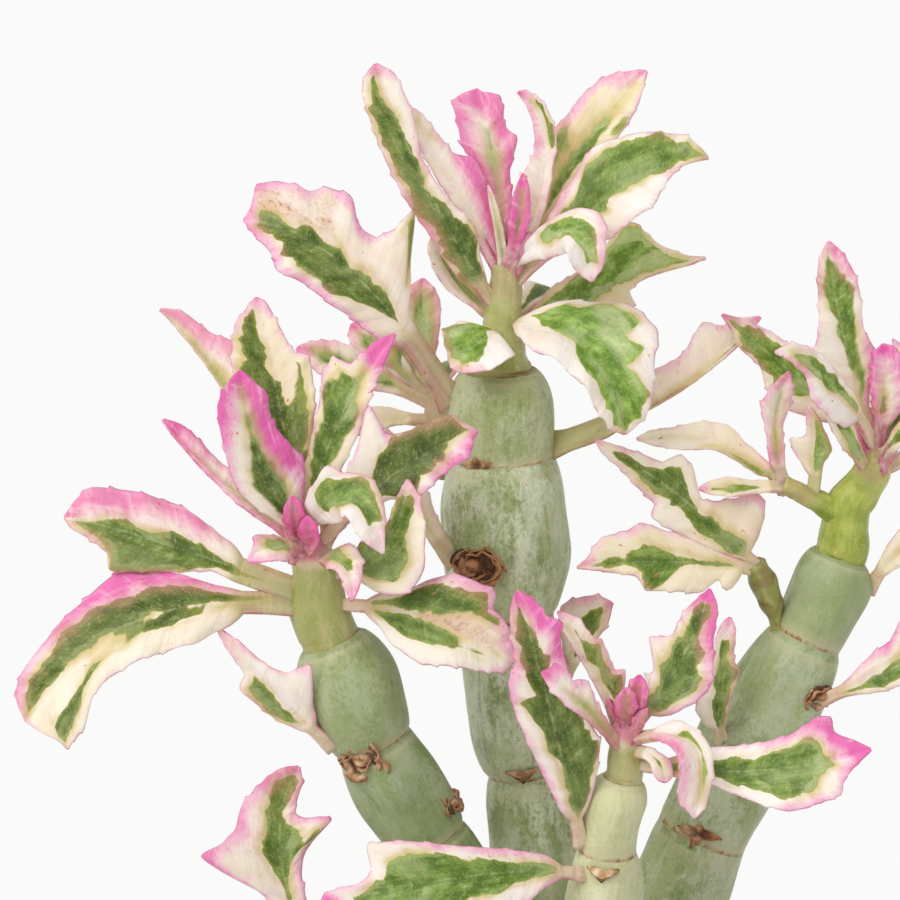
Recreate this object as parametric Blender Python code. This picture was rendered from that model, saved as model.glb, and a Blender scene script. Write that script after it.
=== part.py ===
"""Variegated candle plant: swollen, jointed stems with crowns of lobed leaves, in a plastic nursery pot.

Every size and place below is in millimetres. The origin is the centre of the pot's flat base, +Z is up and
the plant's front looks towards -Y. A leaf is described by its midrib, the way its upper face looks, and the
half widths of its two sides, as (share of the blade, half width) along the veins, which slant to the tip.
"""

import math
from collections import namedtuple

import bmesh
import bpy
from mathutils import Matrix, Vector

MM = 0.001
CLEAR = 0.3

POT_HEIGHT = 95.0
POT_RIM_RADIUS = 56.0
POT_RIM_DEPTH = 14.0
POT_RIM_STEP = 2.0
POT_BASE_RADIUS = 40.0
POT_WALL = 1.8
POT_FLOOR = 2.6
POT_CHAMFER = 2.0
POT_SIDES = 48
DRAIN_HOLES = 6
DRAIN_RADIUS = 1.9
DRAIN_CIRCLE = 30.0

SOIL_LEVEL = 84.0
ROOT_DEPTH = 14.0
HOLE_SLACK = 0.6

STEM_SIDES = 12
RINGS_A_JOINT = 6
BELLY_FULLNESS = 0.65
NECK_SIDES = 8
NECK_FOOT = 1.2

LEAF_RIB = 1.5
LEAF_EDGE = 0.7
STALK_HALF = 1.1
STALK_RIB = 2.2
VEIN_SLANT = math.tan(math.radians(30))
TIP_HALF = 0.4
ROW_SPACING = 1.6
PATH_STEPS = 24

RIGHT, LEFT = 0, 180

Joint = namedtuple("Joint", "top belly waist")
Stem = namedtuple("Stem", "foot radius joints colour")
Leaf = namedtuple("Leaf", "root via tip face stalk left right fold girth")

GREY_GREEN = (0.33, 0.41, 0.31)
LEAF_GREEN = (0.30, 0.42, 0.22)
SOIL_BROWN = (0.055, 0.036, 0.024)
TERRACOTTA = (0.36, 0.13, 0.07)

# Each stem stands upright in its hole, then rises joint by joint: the joint's top, its fullest radius and the
# radius of the waist that ends it.
STEMS = {
    "stem_centre": Stem((-0.8, 8), 6.4, (
        Joint((-3.4, 8, 107.4), 7.2, 6.0),
        Joint((-7.6, 6, 135.1), 7.6, 5.8),
        Joint((-10.1, 5, 162.8), 8.3, 7.6),
        Joint((-11.3, 4, 190.1), 10.8, 8.5),
        Joint((-11.7, 3, 205.0), 9.0, 6.2),
    ), GREY_GREEN),
    "stem_left": Stem((-12.4, -6), 6.4, (
        Joint((-17.2, -8, 112.3), 7.4, 6.6),
        Joint((-23.7, -9, 127.7), 7.6, 6.4),
        Joint((-32.5, -11, 144.7), 7.5, 6.2),
        Joint((-39.6, -12, 162.3), 8.3, 5.0),
    ), GREY_GREEN),
    "stem_right": Stem((14.4, 2), 6.2, (
        Joint((15.1, 3, 102.7), 7.8, 7.2),
        Joint((22.8, 3, 124.8), 8.4, 7.8),
        Joint((40.2, 3, 159.2), 8.5, 6.0),
        Joint((45.6, 3, 173.4), 6.8, 4.6),
    ), GREY_GREEN),
    "stem_front": Stem((3.3, -20), 6.0, (
        Joint((5.6, -25.5, 130.2), 6.7, 4.8),
        Joint((7.9, -27, 142.8), 5.1, 3.2),
    ), GREY_GREEN),
    "shoot_low_left": Stem((-23.4, -12), 3.4, (
        Joint((-36.0, -16.5, 100.0), 3.9, 3.0),
    ), GREY_GREEN),
}

# The neck of each crown: its stem, its radius on the stem's top, then points on its axis with the radii.
NECKS = {
    "crown_centre": ("stem_centre", 5.2, (
        ((-11.5, 2.6, 208.5), 4.2), ((-11.3, 2.4, 213.0), 3.2), ((-10.6, 2, 223.0), 2.5),
    )),
    "crown_left": ("stem_left", 4.9, (
        ((-41.6, -12.6, 167.5), 4.9), ((-42.0, -13, 174.4), 4.1), ((-45.0, -15, 182.5), 1.9),
    )),
    "crown_right": ("stem_right", 4.4, (
        ((46.9, 2, 182.1), 3.8), ((50.4, 1, 187.8), 3.2), ((51.4, 0, 193.0), 1.8),
    )),
    "crown_front": ("stem_front", 3.0, (((8.4, -27.2, 149.0), 2.7), ((8.9, -27.8, 155.5), 1.4))),
    "crown_low_left": ("shoot_low_left", 2.8, (((-42.5, -18, 108.5), 1.8),)),
}
TWIG_RIGHT = (((46.8, 2, 180.0), 2.2), ((40.0, 0.2, 184.0), 1.8), ((35.3, -1, 186.4), 1.5))
BRANCH_BACK = (
    ((-19.9, 10.5, 187.0), 2.3), ((-21.5, 11.7, 188.2), 2.6), ((-22.0, 14.0, 193.5), 2.5),
    ((-22.8, 18, 198.5), 1.4),
)
STALK_RIGHT = (
    ((34.8, 1.0, 163.3), 1.3), ((33.8, 0.2, 166.6), 2.1), ((32.4, -1.4, 170.0), 2.3),
    ((31.0, -3, 173.4), 1.7),
)


def leaf(root, via, tip, face, stalk, left, right, fold=12, girth=STALK_HALF):
    """A leaf whose midrib runs root, via, tip; the left side is the viewer's with the tip held up."""
    places = (Vector(place) for place in (root, via, tip, face))
    return Leaf(*places, stalk, left, right, math.radians(fold), girth)


# Margins of the leaves that are alike: narrow ones, and broad ones with a lobe further up or lower down.
SLIM = ((0.2, 1.2), (0.5, 1.9), (0.8, 1.3))
NARROW = ((0.1, 1.8), (0.35, 3.2), (0.6, 3.4), (0.85, 1.9))
BROAD = ((0.1, 2.2), (0.3, 3.8), (0.5, 4.4), (0.62, 6.8), (0.72, 4.2), (0.9, 1.8))
BROAD_LOW = ((0.1, 2.4), (0.3, 4.2), (0.42, 6.4), (0.52, 4.2), (0.75, 3.4), (0.9, 1.7))
HEART = ((0.15, 1.5), (0.5, 1.8), (0.8, 1.1))
GOLDEN_ANGLE = 137.5


def heart_leaves(top, count, reach):
    """Small leaves in a spiral round a shoot's tip, the outer ones lower and leaning more."""
    found = []
    for k in range(count):
        turn = math.radians(GOLDEN_ANGLE * k - 100)
        lean = 0.3 + 0.5 * k / count
        out = Vector((math.cos(turn), math.sin(turn), 0))
        root = Vector(top) - Vector((0, 0, 1.5 + 3 * k / count))
        via = root + out * (reach * lean * 0.7) + Vector((0, 0, reach * 0.5))
        tip = root + out * (reach * lean) + Vector((0, 0, reach))
        found.append(leaf(root, via, tip, Vector((0, 0, 0.2)) - out, 1.5, HEART, HEART, 25, 1.5))
    return tuple(found)


CROWN_CENTRE = (
    leaf((-11.2, 2, 214), (-23.6, -3, 235.8), (-32.1, -2, 256.4), (0.15, -1, 0.25), 7,
         ((0.05, 3.0), (0.25, 3.5), (0.45, 4.5), (0.65, 4.5), (0.85, 4.0), (0.95, 2.0)),
         ((0.05, 2.0), (0.17, 4.0), (0.4, 2.0), (0.55, 1.5), (0.75, 3.0), (0.9, 2.5))),
    leaf((-10.8, 2, 221), (-19.2, 0.5, 235.5), (-27.9, 0, 249.2), (0.3, -1, 0.3), 2,
         ((0.1, 1.9), (0.45, 2.0), (0.8, 1.5)),
         ((0.15, 3.5), (0.3, 5.0), (0.45, 5.5), (0.6, 3.0), (0.75, 2.5), (0.9, 2.0)), girth=1.7),
    leaf((-10.7, 2, 221), (-12.7, 4, 239.2), (-15.7, 6, 251.6), (0.1, -1, 0.3), 3,
         ((0.1, 1.8), (0.45, 2.0), (0.6, 5.0), (0.85, 5.0), (0.95, 2.5)),
         ((0.15, 1.9), (0.45, 2.5), (0.58, 4.5), (0.7, 3.0), (0.85, 3.5), (0.95, 1.0)), girth=1.7),
    leaf((-10.7, 2, 220), (-4.3, 1, 239.5), (-8.8, 1, 251.5), (-0.4, -1, 0.2), 3,
         ((0.1, 2.4), (0.4, 3.9), (0.6, 2.0), (0.85, 0.9)),
         ((0.2, 2.0), (0.5, 2.0), (0.65, 3.0), (0.8, 3.0), (0.95, 1.5)), 30, 1.7),
    leaf((-10.7, 2, 219), (1.5, 5, 240.6), (12.5, 7, 254.5), (-0.3, -1, 0.4), 7,
         ((0.2, 1.5), (0.35, 7.0), (0.45, 6.0), (0.75, 5.0), (0.93, 1.8)),
         ((0.1, 1.5), (0.35, 2.5), (0.6, 4.3), (0.8, 3.4), (0.95, 1.1))),
    leaf((-10.8, 2, 218), (7.6, -2, 235.7), (22.4, 0, 240.8), (-0.1, -1, 0.5), 6,
         ((0.05, 2.5), (0.2, 4.0), (0.3, 5.5), (0.45, 8.0), (0.65, 6.5), (0.85, 4.0), (0.95, 1.5)),
         ((0.1, 2.0), (0.2, 4.5), (0.3, 6.5), (0.55, 6.2), (0.67, 4.0), (0.85, 1.2))),
    leaf((-10.4, 1, 222), (-0.4, -7.5, 229.8), (3.0, -12, 222.0), (0.2, -1, 0.6), 3,
         ((0.2, 1.8), (0.4, 2.5), (0.57, 4.5), (0.67, 3.3), (0.85, 2.0)),
         ((0.3, 4.8), (0.55, 5.3), (0.8, 3.6))),
    leaf((-11.3, 2.4, 211), (8.7, 13, 218.5), (23.3, 18, 221.9), (0, -0.9, 0.6), 6,
         ((0.1, 3.5), (0.35, 5.0), (0.55, 9.2), (0.66, 6.4), (0.76, 3.5), (0.9, 1.0)),
         ((0.1, 2.0), (0.22, 3.5), (0.3, 5.5), (0.42, 5.5), (0.5, 2.5), (0.66, 1.0), (0.85, 1.0))),
    leaf((-11.2, 2.2, 213), (3.2, -10, 210.0), (8.5, -14, 197.1), (0.5, -1, 0.7), 3,
         ((0.05, 4.5), (0.2, 8.0), (0.45, 11.0), (0.6, 7.5), (0.75, 5.5), (0.87, 3.5)),
         ((0.1, 6.5), (0.3, 8.0), (0.57, 7.5), (0.85, 4.5))),
    leaf((-11.3, 2.4, 212), (-15.9, -5, 210.2), (-19.7, -8, 207.1), (-0.2, -1, 0.5), 3,
         ((0.1, 7.0), (0.35, 6.5), (0.8, 3.0)),
         ((0.1, 5.0), (0.45, 5.5), (0.7, 3.0))),
    leaf((-11.2, 2.2, 213), (-18.6, 5, 219.1), (-23.0, 7, 226.7), (0.6, -0.8, 0.4), 4,
         ((0.2, 2.4), (0.5, 3.2), (0.8, 2.2)), ((0.2, 2.4), (0.5, 3.2), (0.8, 2.2))),
    leaf((-10.9, 2, 217), (-7.0, 15, 228.0), (-5.0, 27, 229.0), (0, -0.3, 1), 6, BROAD, BROAD_LOW),
    leaf((-11.4, 2.5, 210), (-4.0, 15, 216.0), (2.0, 27, 212.0), (0.1, 0.2, 1), 7, BROAD_LOW, BROAD),
    leaf((-10.9, 1.5, 221), (-12.0, -1.5, 229), (-13.7, -1.5, 236.4), (0.1, -1, 0.2), 2,
         ((0.3, 0.9), (0.7, 0.8)), ((0.3, 0.9), (0.7, 0.8)), 20),
    leaf((-10.8, 1.0, 221), (-8.8, -2, 229.5), (-8.0, -2.5, 238.4), (-0.1, -1, 0.2), 2, SLIM, SLIM, 20, 1.5),
) + heart_leaves((-10.6, 2, 223), 5, 9)

CROWN_LEFT = (
    leaf((-42.0, -13.0, 169.6), (-68.0, -14, 179.2), (-83.0, -14, 183.3), (0.1, -1, 0.5), 13.5,
         ((0.1, 1.9), (0.27, 4.5), (0.43, 6.5), (0.53, 7.5), (0.63, 4.7), (0.75, 3.2), (0.9, 2.0)),
         ((0.04, 4.0), (0.2, 6.0), (0.32, 7.0), (0.6, 6.7), (0.8, 5.5), (0.9, 3.3), (0.96, 1.5)), girth=2.2),
    leaf((-41.4, -12.8, 167.8), (-70.4, -20, 167.4), (-88.7, -24, 151.4), (-0.2, -1, 0.6), 13,
         ((0.04, 4.7), (0.12, 7.5), (0.35, 7.5), (0.5, 7.4), (0.6, 8.3), (0.68, 11.2), (0.8, 11.2),
          (0.88, 7.2), (0.95, 3.6)),
         ((0.1, 4.0), (0.23, 7.5), (0.3, 8.5), (0.4, 7.7), (0.55, 6.3), (0.75, 5.2), (0.88, 4.2)),
         girth=2.0),
    leaf((-43.6, -14.1, 178.5), (-57.7, -12, 189.4), (-67.0, -10, 198.8), (0.8, -0.8, 0.5), 4,
         ((0.25, 2.0), (0.55, 1.5), (0.8, 0.8)),
         ((0.04, 2.2), (0.2, 3.5), (0.47, 2.5), (0.83, 2.5))),
    leaf((-44.2, -14.5, 180), (-51.1, -19, 194.5), (-53.7, -21, 208.6), (0.2, -1, 0.2), 3,
         ((0.07, 2.5), (0.18, 4.5), (0.3, 5.5), (0.55, 5.0), (0.75, 4.5), (0.93, 1.8)),
         ((0.04, 3.8), (0.13, 6.0), (0.2, 7.0), (0.37, 5.5), (0.6, 4.0), (0.75, 4.0), (0.85, 2.8),
          (0.94, 1.3))),
    leaf((-44.2, -14.5, 180), (-47.8, -11, 201.2), (-51.7, -9, 218.8), (-0.1, -1, 0.2), 6,
         ((0.1, 3.5), (0.37, 6.0), (0.58, 6.5), (0.82, 4.5), (0.94, 1.7)),
         ((0.05, 3.0), (0.2, 4.3), (0.36, 6.2), (0.56, 6.7), (0.64, 4.3), (0.8, 2.8), (0.95, 1.5))),
    leaf((-44.0, -14.4, 179.5), (-56.8, -2, 202.3), (-68.2, 3, 215.2), (0.1, -1, 0.3), 5,
         ((0.2, 1.5), (0.5, 0.8), (0.85, 0.8)),
         ((0.3, 3.7), (0.5, 5.4), (0.6, 6.0), (0.76, 3.2), (0.9, 2.2))),
    leaf((-43.6, -14.1, 178.5), (-38.7, -14, 197.8), (-29.0, -11, 213.1), (-0.2, -1, 0.2), 7,
         ((0.1, 2.5), (0.3, 3.3), (0.46, 4.3), (0.54, 6.0), (0.63, 5.7), (0.7, 2.8), (0.9, 1.5)),
         ((0.07, 2.5), (0.2, 3.7), (0.37, 4.2), (0.62, 3.0), (0.85, 1.6))),
    leaf((-43.0, -13.8, 177), (-29.0, -17, 191.0), (-15.6, -17, 198.1), (-0.1, -1, 0.3), 9,
         ((0.05, 4.0), (0.2, 7.0), (0.32, 11.5), (0.4, 6.0), (0.56, 4.5), (0.8, 4.0), (0.9, 2.0)),
         ((0.1, 1.7), (0.24, 3.0), (0.32, 6.0), (0.6, 4.6), (0.8, 4.0), (0.93, 1.3))),
    leaf((-44.2, -14.5, 180), (-36.2, -24, 188.2), (-30.7, -28, 180.2), (0.3, -1, 0.5), 5,
         ((0.04, 3.2), (0.2, 4.5), (0.27, 5.8), (0.35, 4.0), (0.45, 4.3), (0.62, 3.0), (0.82, 1.3)),
         ((0.1, 3.0), (0.4, 4.0), (0.73, 3.5))),
    leaf((-41.6, -13, 173), (-31.0, -19, 179.6), (-26.8, -20, 190.6), (-0.3, -1, 0.2), 7,
         ((0.1, 3.0), (0.35, 2.5), (0.5, 1.5), (0.7, 1.7), (0.9, 1.0)),
         ((0.06, 7.0), (0.17, 8.8), (0.34, 8.2), (0.42, 7.0), (0.63, 4.3), (0.84, 2.2))),
    leaf((-40.7, -12.6, 168.5), (-23.4, -21, 168.0), (-9.5, -23, 161.6), (0.1, -1, 0.4), 8,
         ((0.07, 3.0), (0.17, 3.5), (0.24, 6.0), (0.36, 8.0), (0.58, 7.7), (0.65, 5.2),
          (0.75, 4.3), (0.88, 2.2)),
         ((0.04, 2.5), (0.12, 6.0), (0.29, 8.2), (0.5, 7.0), (0.67, 5.7), (0.92, 3.0))),
    leaf((-43.4, -14, 178), (-48.7, -22, 180.0), (-52.4, -26, 178.4), (-0.2, -1, 0.6), 5,
         ((0.1, 2.8), (0.35, 4.3), (0.75, 2.5)),
         ((0.25, 2.2), (0.48, 2.8), (0.7, 1.4))),
    leaf((-44.4, -14.8, 179), (-45.2, -18.4, 183.2), (-45.4, -19.3, 187.8), (0.1, -1, 0.1), 1.5,
         SLIM, SLIM),
    leaf((-43.6, -14.2, 177), (-42.8, -18.6, 180.4), (-43.2, -20.2, 184.6), (-0.2, -1, 0.3), 2,
         SLIM, SLIM),
    leaf((-42.6, -13.6, 176), (-37.0, -22, 176.8), (-35.8, -27, 172.2), (0.2, -1, 0.6), 4,
         ((0.1, 2.8), (0.2, 3.6), (0.35, 3.2), (0.6, 2.0)),
         ((0.2, 2.3), (0.73, 1.7))),
    leaf((-43.0, -13.8, 177), (-49.0, 0, 188.0), (-52.0, 11, 190.0), (0, -0.3, 1), 6, BROAD, BROAD_LOW),
    leaf((-41.9, -13.2, 174), (-38.0, -1, 182.0), (-35.0, 6, 180.5), (0.2, -0.2, 1), 7, BROAD_LOW, NARROW),
) + heart_leaves((-44.5, -14.8, 181), 5, 6.5)

CROWN_RIGHT = (
    leaf((51.2, 0.2, 192), (36.6, 4, 204.6), (25.4, 3, 214.3), (0.2, -1, 0.3), 8,
         ((0.06, 3.8), (0.22, 6.0), (0.4, 4.7), (0.56, 2.8), (0.7, 2.8), (0.82, 1.7)),
         ((0.1, 3.0), (0.38, 3.5), (0.6, 3.2), (0.8, 2.0), (0.92, 1.0))),
    leaf((51.2, 0.2, 192), (42.0, -10, 205.4), (32.8, -15, 210.8), (0.2, -1, 0.6), 9,
         ((0.04, 4.5), (0.2, 6.5), (0.43, 6.3), (0.63, 3.0)),
         ((0.1, 1.5), (0.44, 2.0), (0.65, 2.7), (0.84, 2.0))),
    leaf((51.2, 0.2, 192), (44.9, -3.5, 211.4), (42.2, -4, 227.4), (0.1, -1, 0.2), 8,
         ((0.05, 2.5), (0.14, 5.0), (0.22, 9.3), (0.36, 5.2), (0.55, 3.4), (0.8, 2.5), (0.93, 1.3)),
         ((0.05, 1.8), (0.19, 4.8), (0.4, 3.6), (0.58, 4.2), (0.73, 3.7), (0.9, 2.0))),
    leaf((51.4, 0, 192.5), (51.6, -3, 201.0), (51.2, -6, 210.6), (-0.1, -1, 0.2), 4,
         ((0.1, 1.5), (0.38, 2.0), (0.67, 2.1), (0.83, 1.9)),
         ((0.06, 2.6), (0.26, 4.0), (0.63, 3.5), (0.86, 2.4))),
    leaf((50.2, 1, 187.5), (45.4, -6, 195.4), (42.4, -9.5, 200.8), (0.3, -1, 0.2), 5,
         ((0.1, 1.3), (0.4, 2.0), (0.75, 1.9), (0.93, 1.1)),
         ((0.16, 1.2), (0.4, 2.0), (0.67, 2.3))),
    leaf((51.0, 0.5, 190.5), (56.0, 1, 200.4), (60.7, 3, 208.5), (-0.2, -1, 0.3), 5, BROAD, NARROW),
    leaf((50.8, 0.6, 189.5), (55.6, -6, 195.4), (61.6, -10, 197.6), (-0.1, -1, 0.6), 5, NARROW, SLIM),
    leaf((50.4, 1, 187.8), (57.6, 4, 190.5), (66.0, 7, 196.0), (-0.2, -1, 0.5), 5, BROAD, NARROW),
    leaf((50.6, 0.8, 188.8), (53.0, 12, 196.0), (56.0, 22, 197.5), (0, -0.3, 1), 6, BROAD, BROAD_LOW),
    leaf((35.6, -0.9, 186.3), (33.8, -2.4, 197.4), (36.1, -3.5, 205.6), (0.4, -1, 0.2), 3,
         ((0.05, 1.8), (0.32, 1.8), (0.57, 3.0), (0.74, 2.2), (0.9, 1.1)),
         ((0.05, 1.3), (0.37, 1.6), (0.62, 2.4), (0.85, 1.5))),
    leaf((40.4, 0.3, 183.8), (41.0, -1.2, 193.0), (39.4, -2, 199.7), (-0.1, -1, 0.1), 4,
         ((0.1, 3.5), (0.3, 4.7), (0.53, 1.8), (0.8, 1.1)),
         ((0.15, 1.2), (0.27, 2.6), (0.58, 1.5), (0.86, 0.8))),
    leaf((35.6, -0.9, 186.3), (24.6, -2, 193.9), (11.0, -4, 194.6), (0, -1, 0.5), 3,
         ((0.05, 2.3), (0.4, 2.1), (0.63, 3.0), (0.84, 2.0)),
         ((0.05, 1.0), (0.23, 1.5), (0.34, 3.0), (0.53, 2.4), (0.7, 1.3), (0.88, 1.0))),
    leaf((35.8, -0.8, 186.1), (28.0, -5, 186.6), (21.3, -6, 186.6), (0, -1, 0.6), 3, SLIM, SLIM),
) + heart_leaves((51.2, 0.2, 192), 4, 7)

CROWN_FRONT = (
    leaf((8.2, -27.1, 147), (1.5, -35, 156.6), (-5.3, -38, 163.0), (0.3, -1, 0.5), 5,
         ((0.1, 1.3), (0.37, 1.7), (0.6, 2.4), (0.8, 2.0)),
         ((0.2, 1.3), (0.4, 2.1), (0.53, 3.4), (0.69, 1.8), (0.82, 2.6))),
    leaf((8.4, -27.2, 149), (4.0, -25.6, 158.7), (-2.5, -24.5, 169.8), (0.1, -1, 0.2), 3,
         ((0.1, 1.0), (0.4, 1.0), (0.75, 1.2)),
         ((0.14, 3.0), (0.23, 4.7), (0.32, 3.0), (0.45, 3.6), (0.55, 3.4), (0.65, 2.5), (0.8, 2.4))),
    leaf((8.5, -27.4, 151), (8.2, -30.6, 154.6), (8.4, -31.4, 158.8), (0.1, -1, 0.2), 1.5, SLIM, SLIM),
    leaf((8.6, -27.5, 151.5), (9.8, -29.6, 156), (10.4, -30.2, 160.6), (-0.2, -1, 0.1), 1.5, SLIM, SLIM),
    leaf((8.5, -27.3, 150), (17.1, -26.5, 162.0), (21.7, -26.5, 173.9), (-0.2, -1, 0.2), 5,
         ((0.1, 2.4), (0.2, 3.0), (0.3, 6.5), (0.4, 4.8), (0.51, 3.2), (0.7, 3.0), (0.92, 1.1)),
         ((0.05, 4.3), (0.15, 5.9), (0.25, 6.4), (0.38, 5.5), (0.6, 3.4), (0.86, 2.1))),
    leaf((8.4, -27.2, 149), (18.2, -37, 150.9), (18.7, -41, 140.1), (0.4, -0.8, 0.7), 6,
         ((0.08, 2.8), (0.25, 2.8), (0.5, 2.4), (0.68, 2.0), (0.85, 1.5)),
         ((0.1, 2.4), (0.3, 4.0), (0.5, 5.0), (0.75, 4.0))),
    leaf((8.1, -27.1, 145.5), (28.9, -33, 145.5), (47.1, -35.5, 149.8), (-0.1, -1, 0.6), 6,
         ((0.1, 3.5), (0.22, 4.1), (0.44, 4.7), (0.57, 6.0), (0.65, 7.5), (0.73, 7.0), (0.78, 4.5),
          (0.88, 2.6), (0.94, 1.5)),
         ((0.08, 1.6), (0.2, 2.2), (0.38, 5.8), (0.49, 7.5), (0.64, 7.0), (0.73, 6.3),
          (0.78, 4.2), (0.86, 2.4))),
    leaf((8.2, -27.1, 147), (12.4, -30.5, 147.4), (14.6, -32.5, 143.6), (0.2, -1, 0.4), 4, SLIM, SLIM),
    leaf((8.4, -27.2, 149), (14.0, -18, 154.0), (19.0, -10, 153.0), (-0.1, -0.3, 1), 5, BROAD, NARROW),
) + heart_leaves((8.7, -27.6, 153), 4, 6)

CROWN_LOW_LEFT = (
    leaf((-42.0, -17.9, 107.8), (-48.0, -18, 128.0), (-44.9, -16, 141.8), (0.1, -1, 0.1), 8,
         ((0.05, 1.6), (0.18, 4.5), (0.3, 13.0), (0.4, 9.5), (0.5, 7.2), (0.6, 6.7),
          (0.73, 5.0), (0.88, 2.8)),
         ((0.05, 2.6), (0.24, 3.0), (0.36, 4.2), (0.45, 9.2), (0.54, 7.0), (0.6, 4.0),
          (0.67, 2.4), (0.88, 2.0))),
    leaf((-41.5, -17.8, 107), (-54.0, -20, 112.0), (-66.0, -23, 109.5), (0, -0.8, 1), 6, BROAD, BROAD_LOW),
    leaf((-41.5, -17.8, 107), (-46.0, -28, 113.0), (-52.0, -38, 111.0), (-0.1, -0.8, 1), 6, BROAD_LOW, BROAD),
    leaf((-40.8, -17.6, 106), (-37.5, -28, 109.0), (-34.0, -38, 105.0), (0.2, -0.8, 1), 6, NARROW, BROAD),
    leaf((-41.0, -17.7, 106.5), (-49.0, -9, 111.0), (-55.0, 0, 108.0), (0, 0.2, 1), 6, BROAD, NARROW),
) + heart_leaves((-42.2, -18, 108), 3, 5)

CROWN_BRANCH = (
    leaf((-22.2, 16.4, 196.6), (-36.0, 19, 202.6), (-46.3, 21, 205.9), (0.1, -1, 0.4), 6, NARROW, NARROW),
    leaf((-22.4, 17, 197.2), (-31.0, 22, 204.0), (-36.9, 26, 209.5), (0.3, -1, 0.4), 5, NARROW, NARROW),
    leaf((-21.4, 14.4, 194.4), (-30.5, 13, 194.7), (-37.8, 11, 192.4), (0, -0.9, 0.8), 5, SLIM, NARROW),
    leaf((-22.6, 17.5, 198), (-27.2, 21, 202.5), (-29.0, 22, 207.8), (0.3, -1, 0.2), 2, NARROW, NARROW),
    leaf((-22.4, 17, 197.5), (-24.6, 22, 209.0), (-24.6, 25, 217.5), (0, -1, 0.2), 6, NARROW, NARROW),
    leaf((-22.2, 16.4, 196.6), (-22.0, 27, 201.0), (-24.0, 36, 199.0), (0, -0.2, 1), 5, BROAD, BROAD_LOW),
)

STALK_RIGHT_LEAVES = (
    leaf((31.4, -2.6, 172.4), (19.4, -3.5, 183.8), (4.2, -4, 194.4), (0.1, -1, 0.2), 3,
         ((0.08, 3.5), (0.2, 5.0), (0.42, 6.0), (0.5, 3.7), (0.65, 3.0), (0.8, 2.0), (0.92, 1.4)),
         ((0.04, 9.0), (0.14, 6.0), (0.34, 2.0), (0.42, 5.0), (0.5, 5.8), (0.6, 3.0), (0.75, 2.0),
          (0.9, 0.9))),
    leaf((31.4, -2.6, 172.2), (16.4, -7, 174.4), (1.1, -9, 173.9), (0, -1, 0.4), 3,
         ((0.04, 4.5), (0.1, 2.8), (0.18, 5.4), (0.5, 5.1), (0.62, 2.5), (0.8, 1.4)),
         ((0.06, 1.6), (0.14, 2.5), (0.38, 5.3), (0.5, 6.5), (0.6, 5.3), (0.75, 4.6), (0.82, 3.3),
          (0.92, 1.3))),
)

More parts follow.
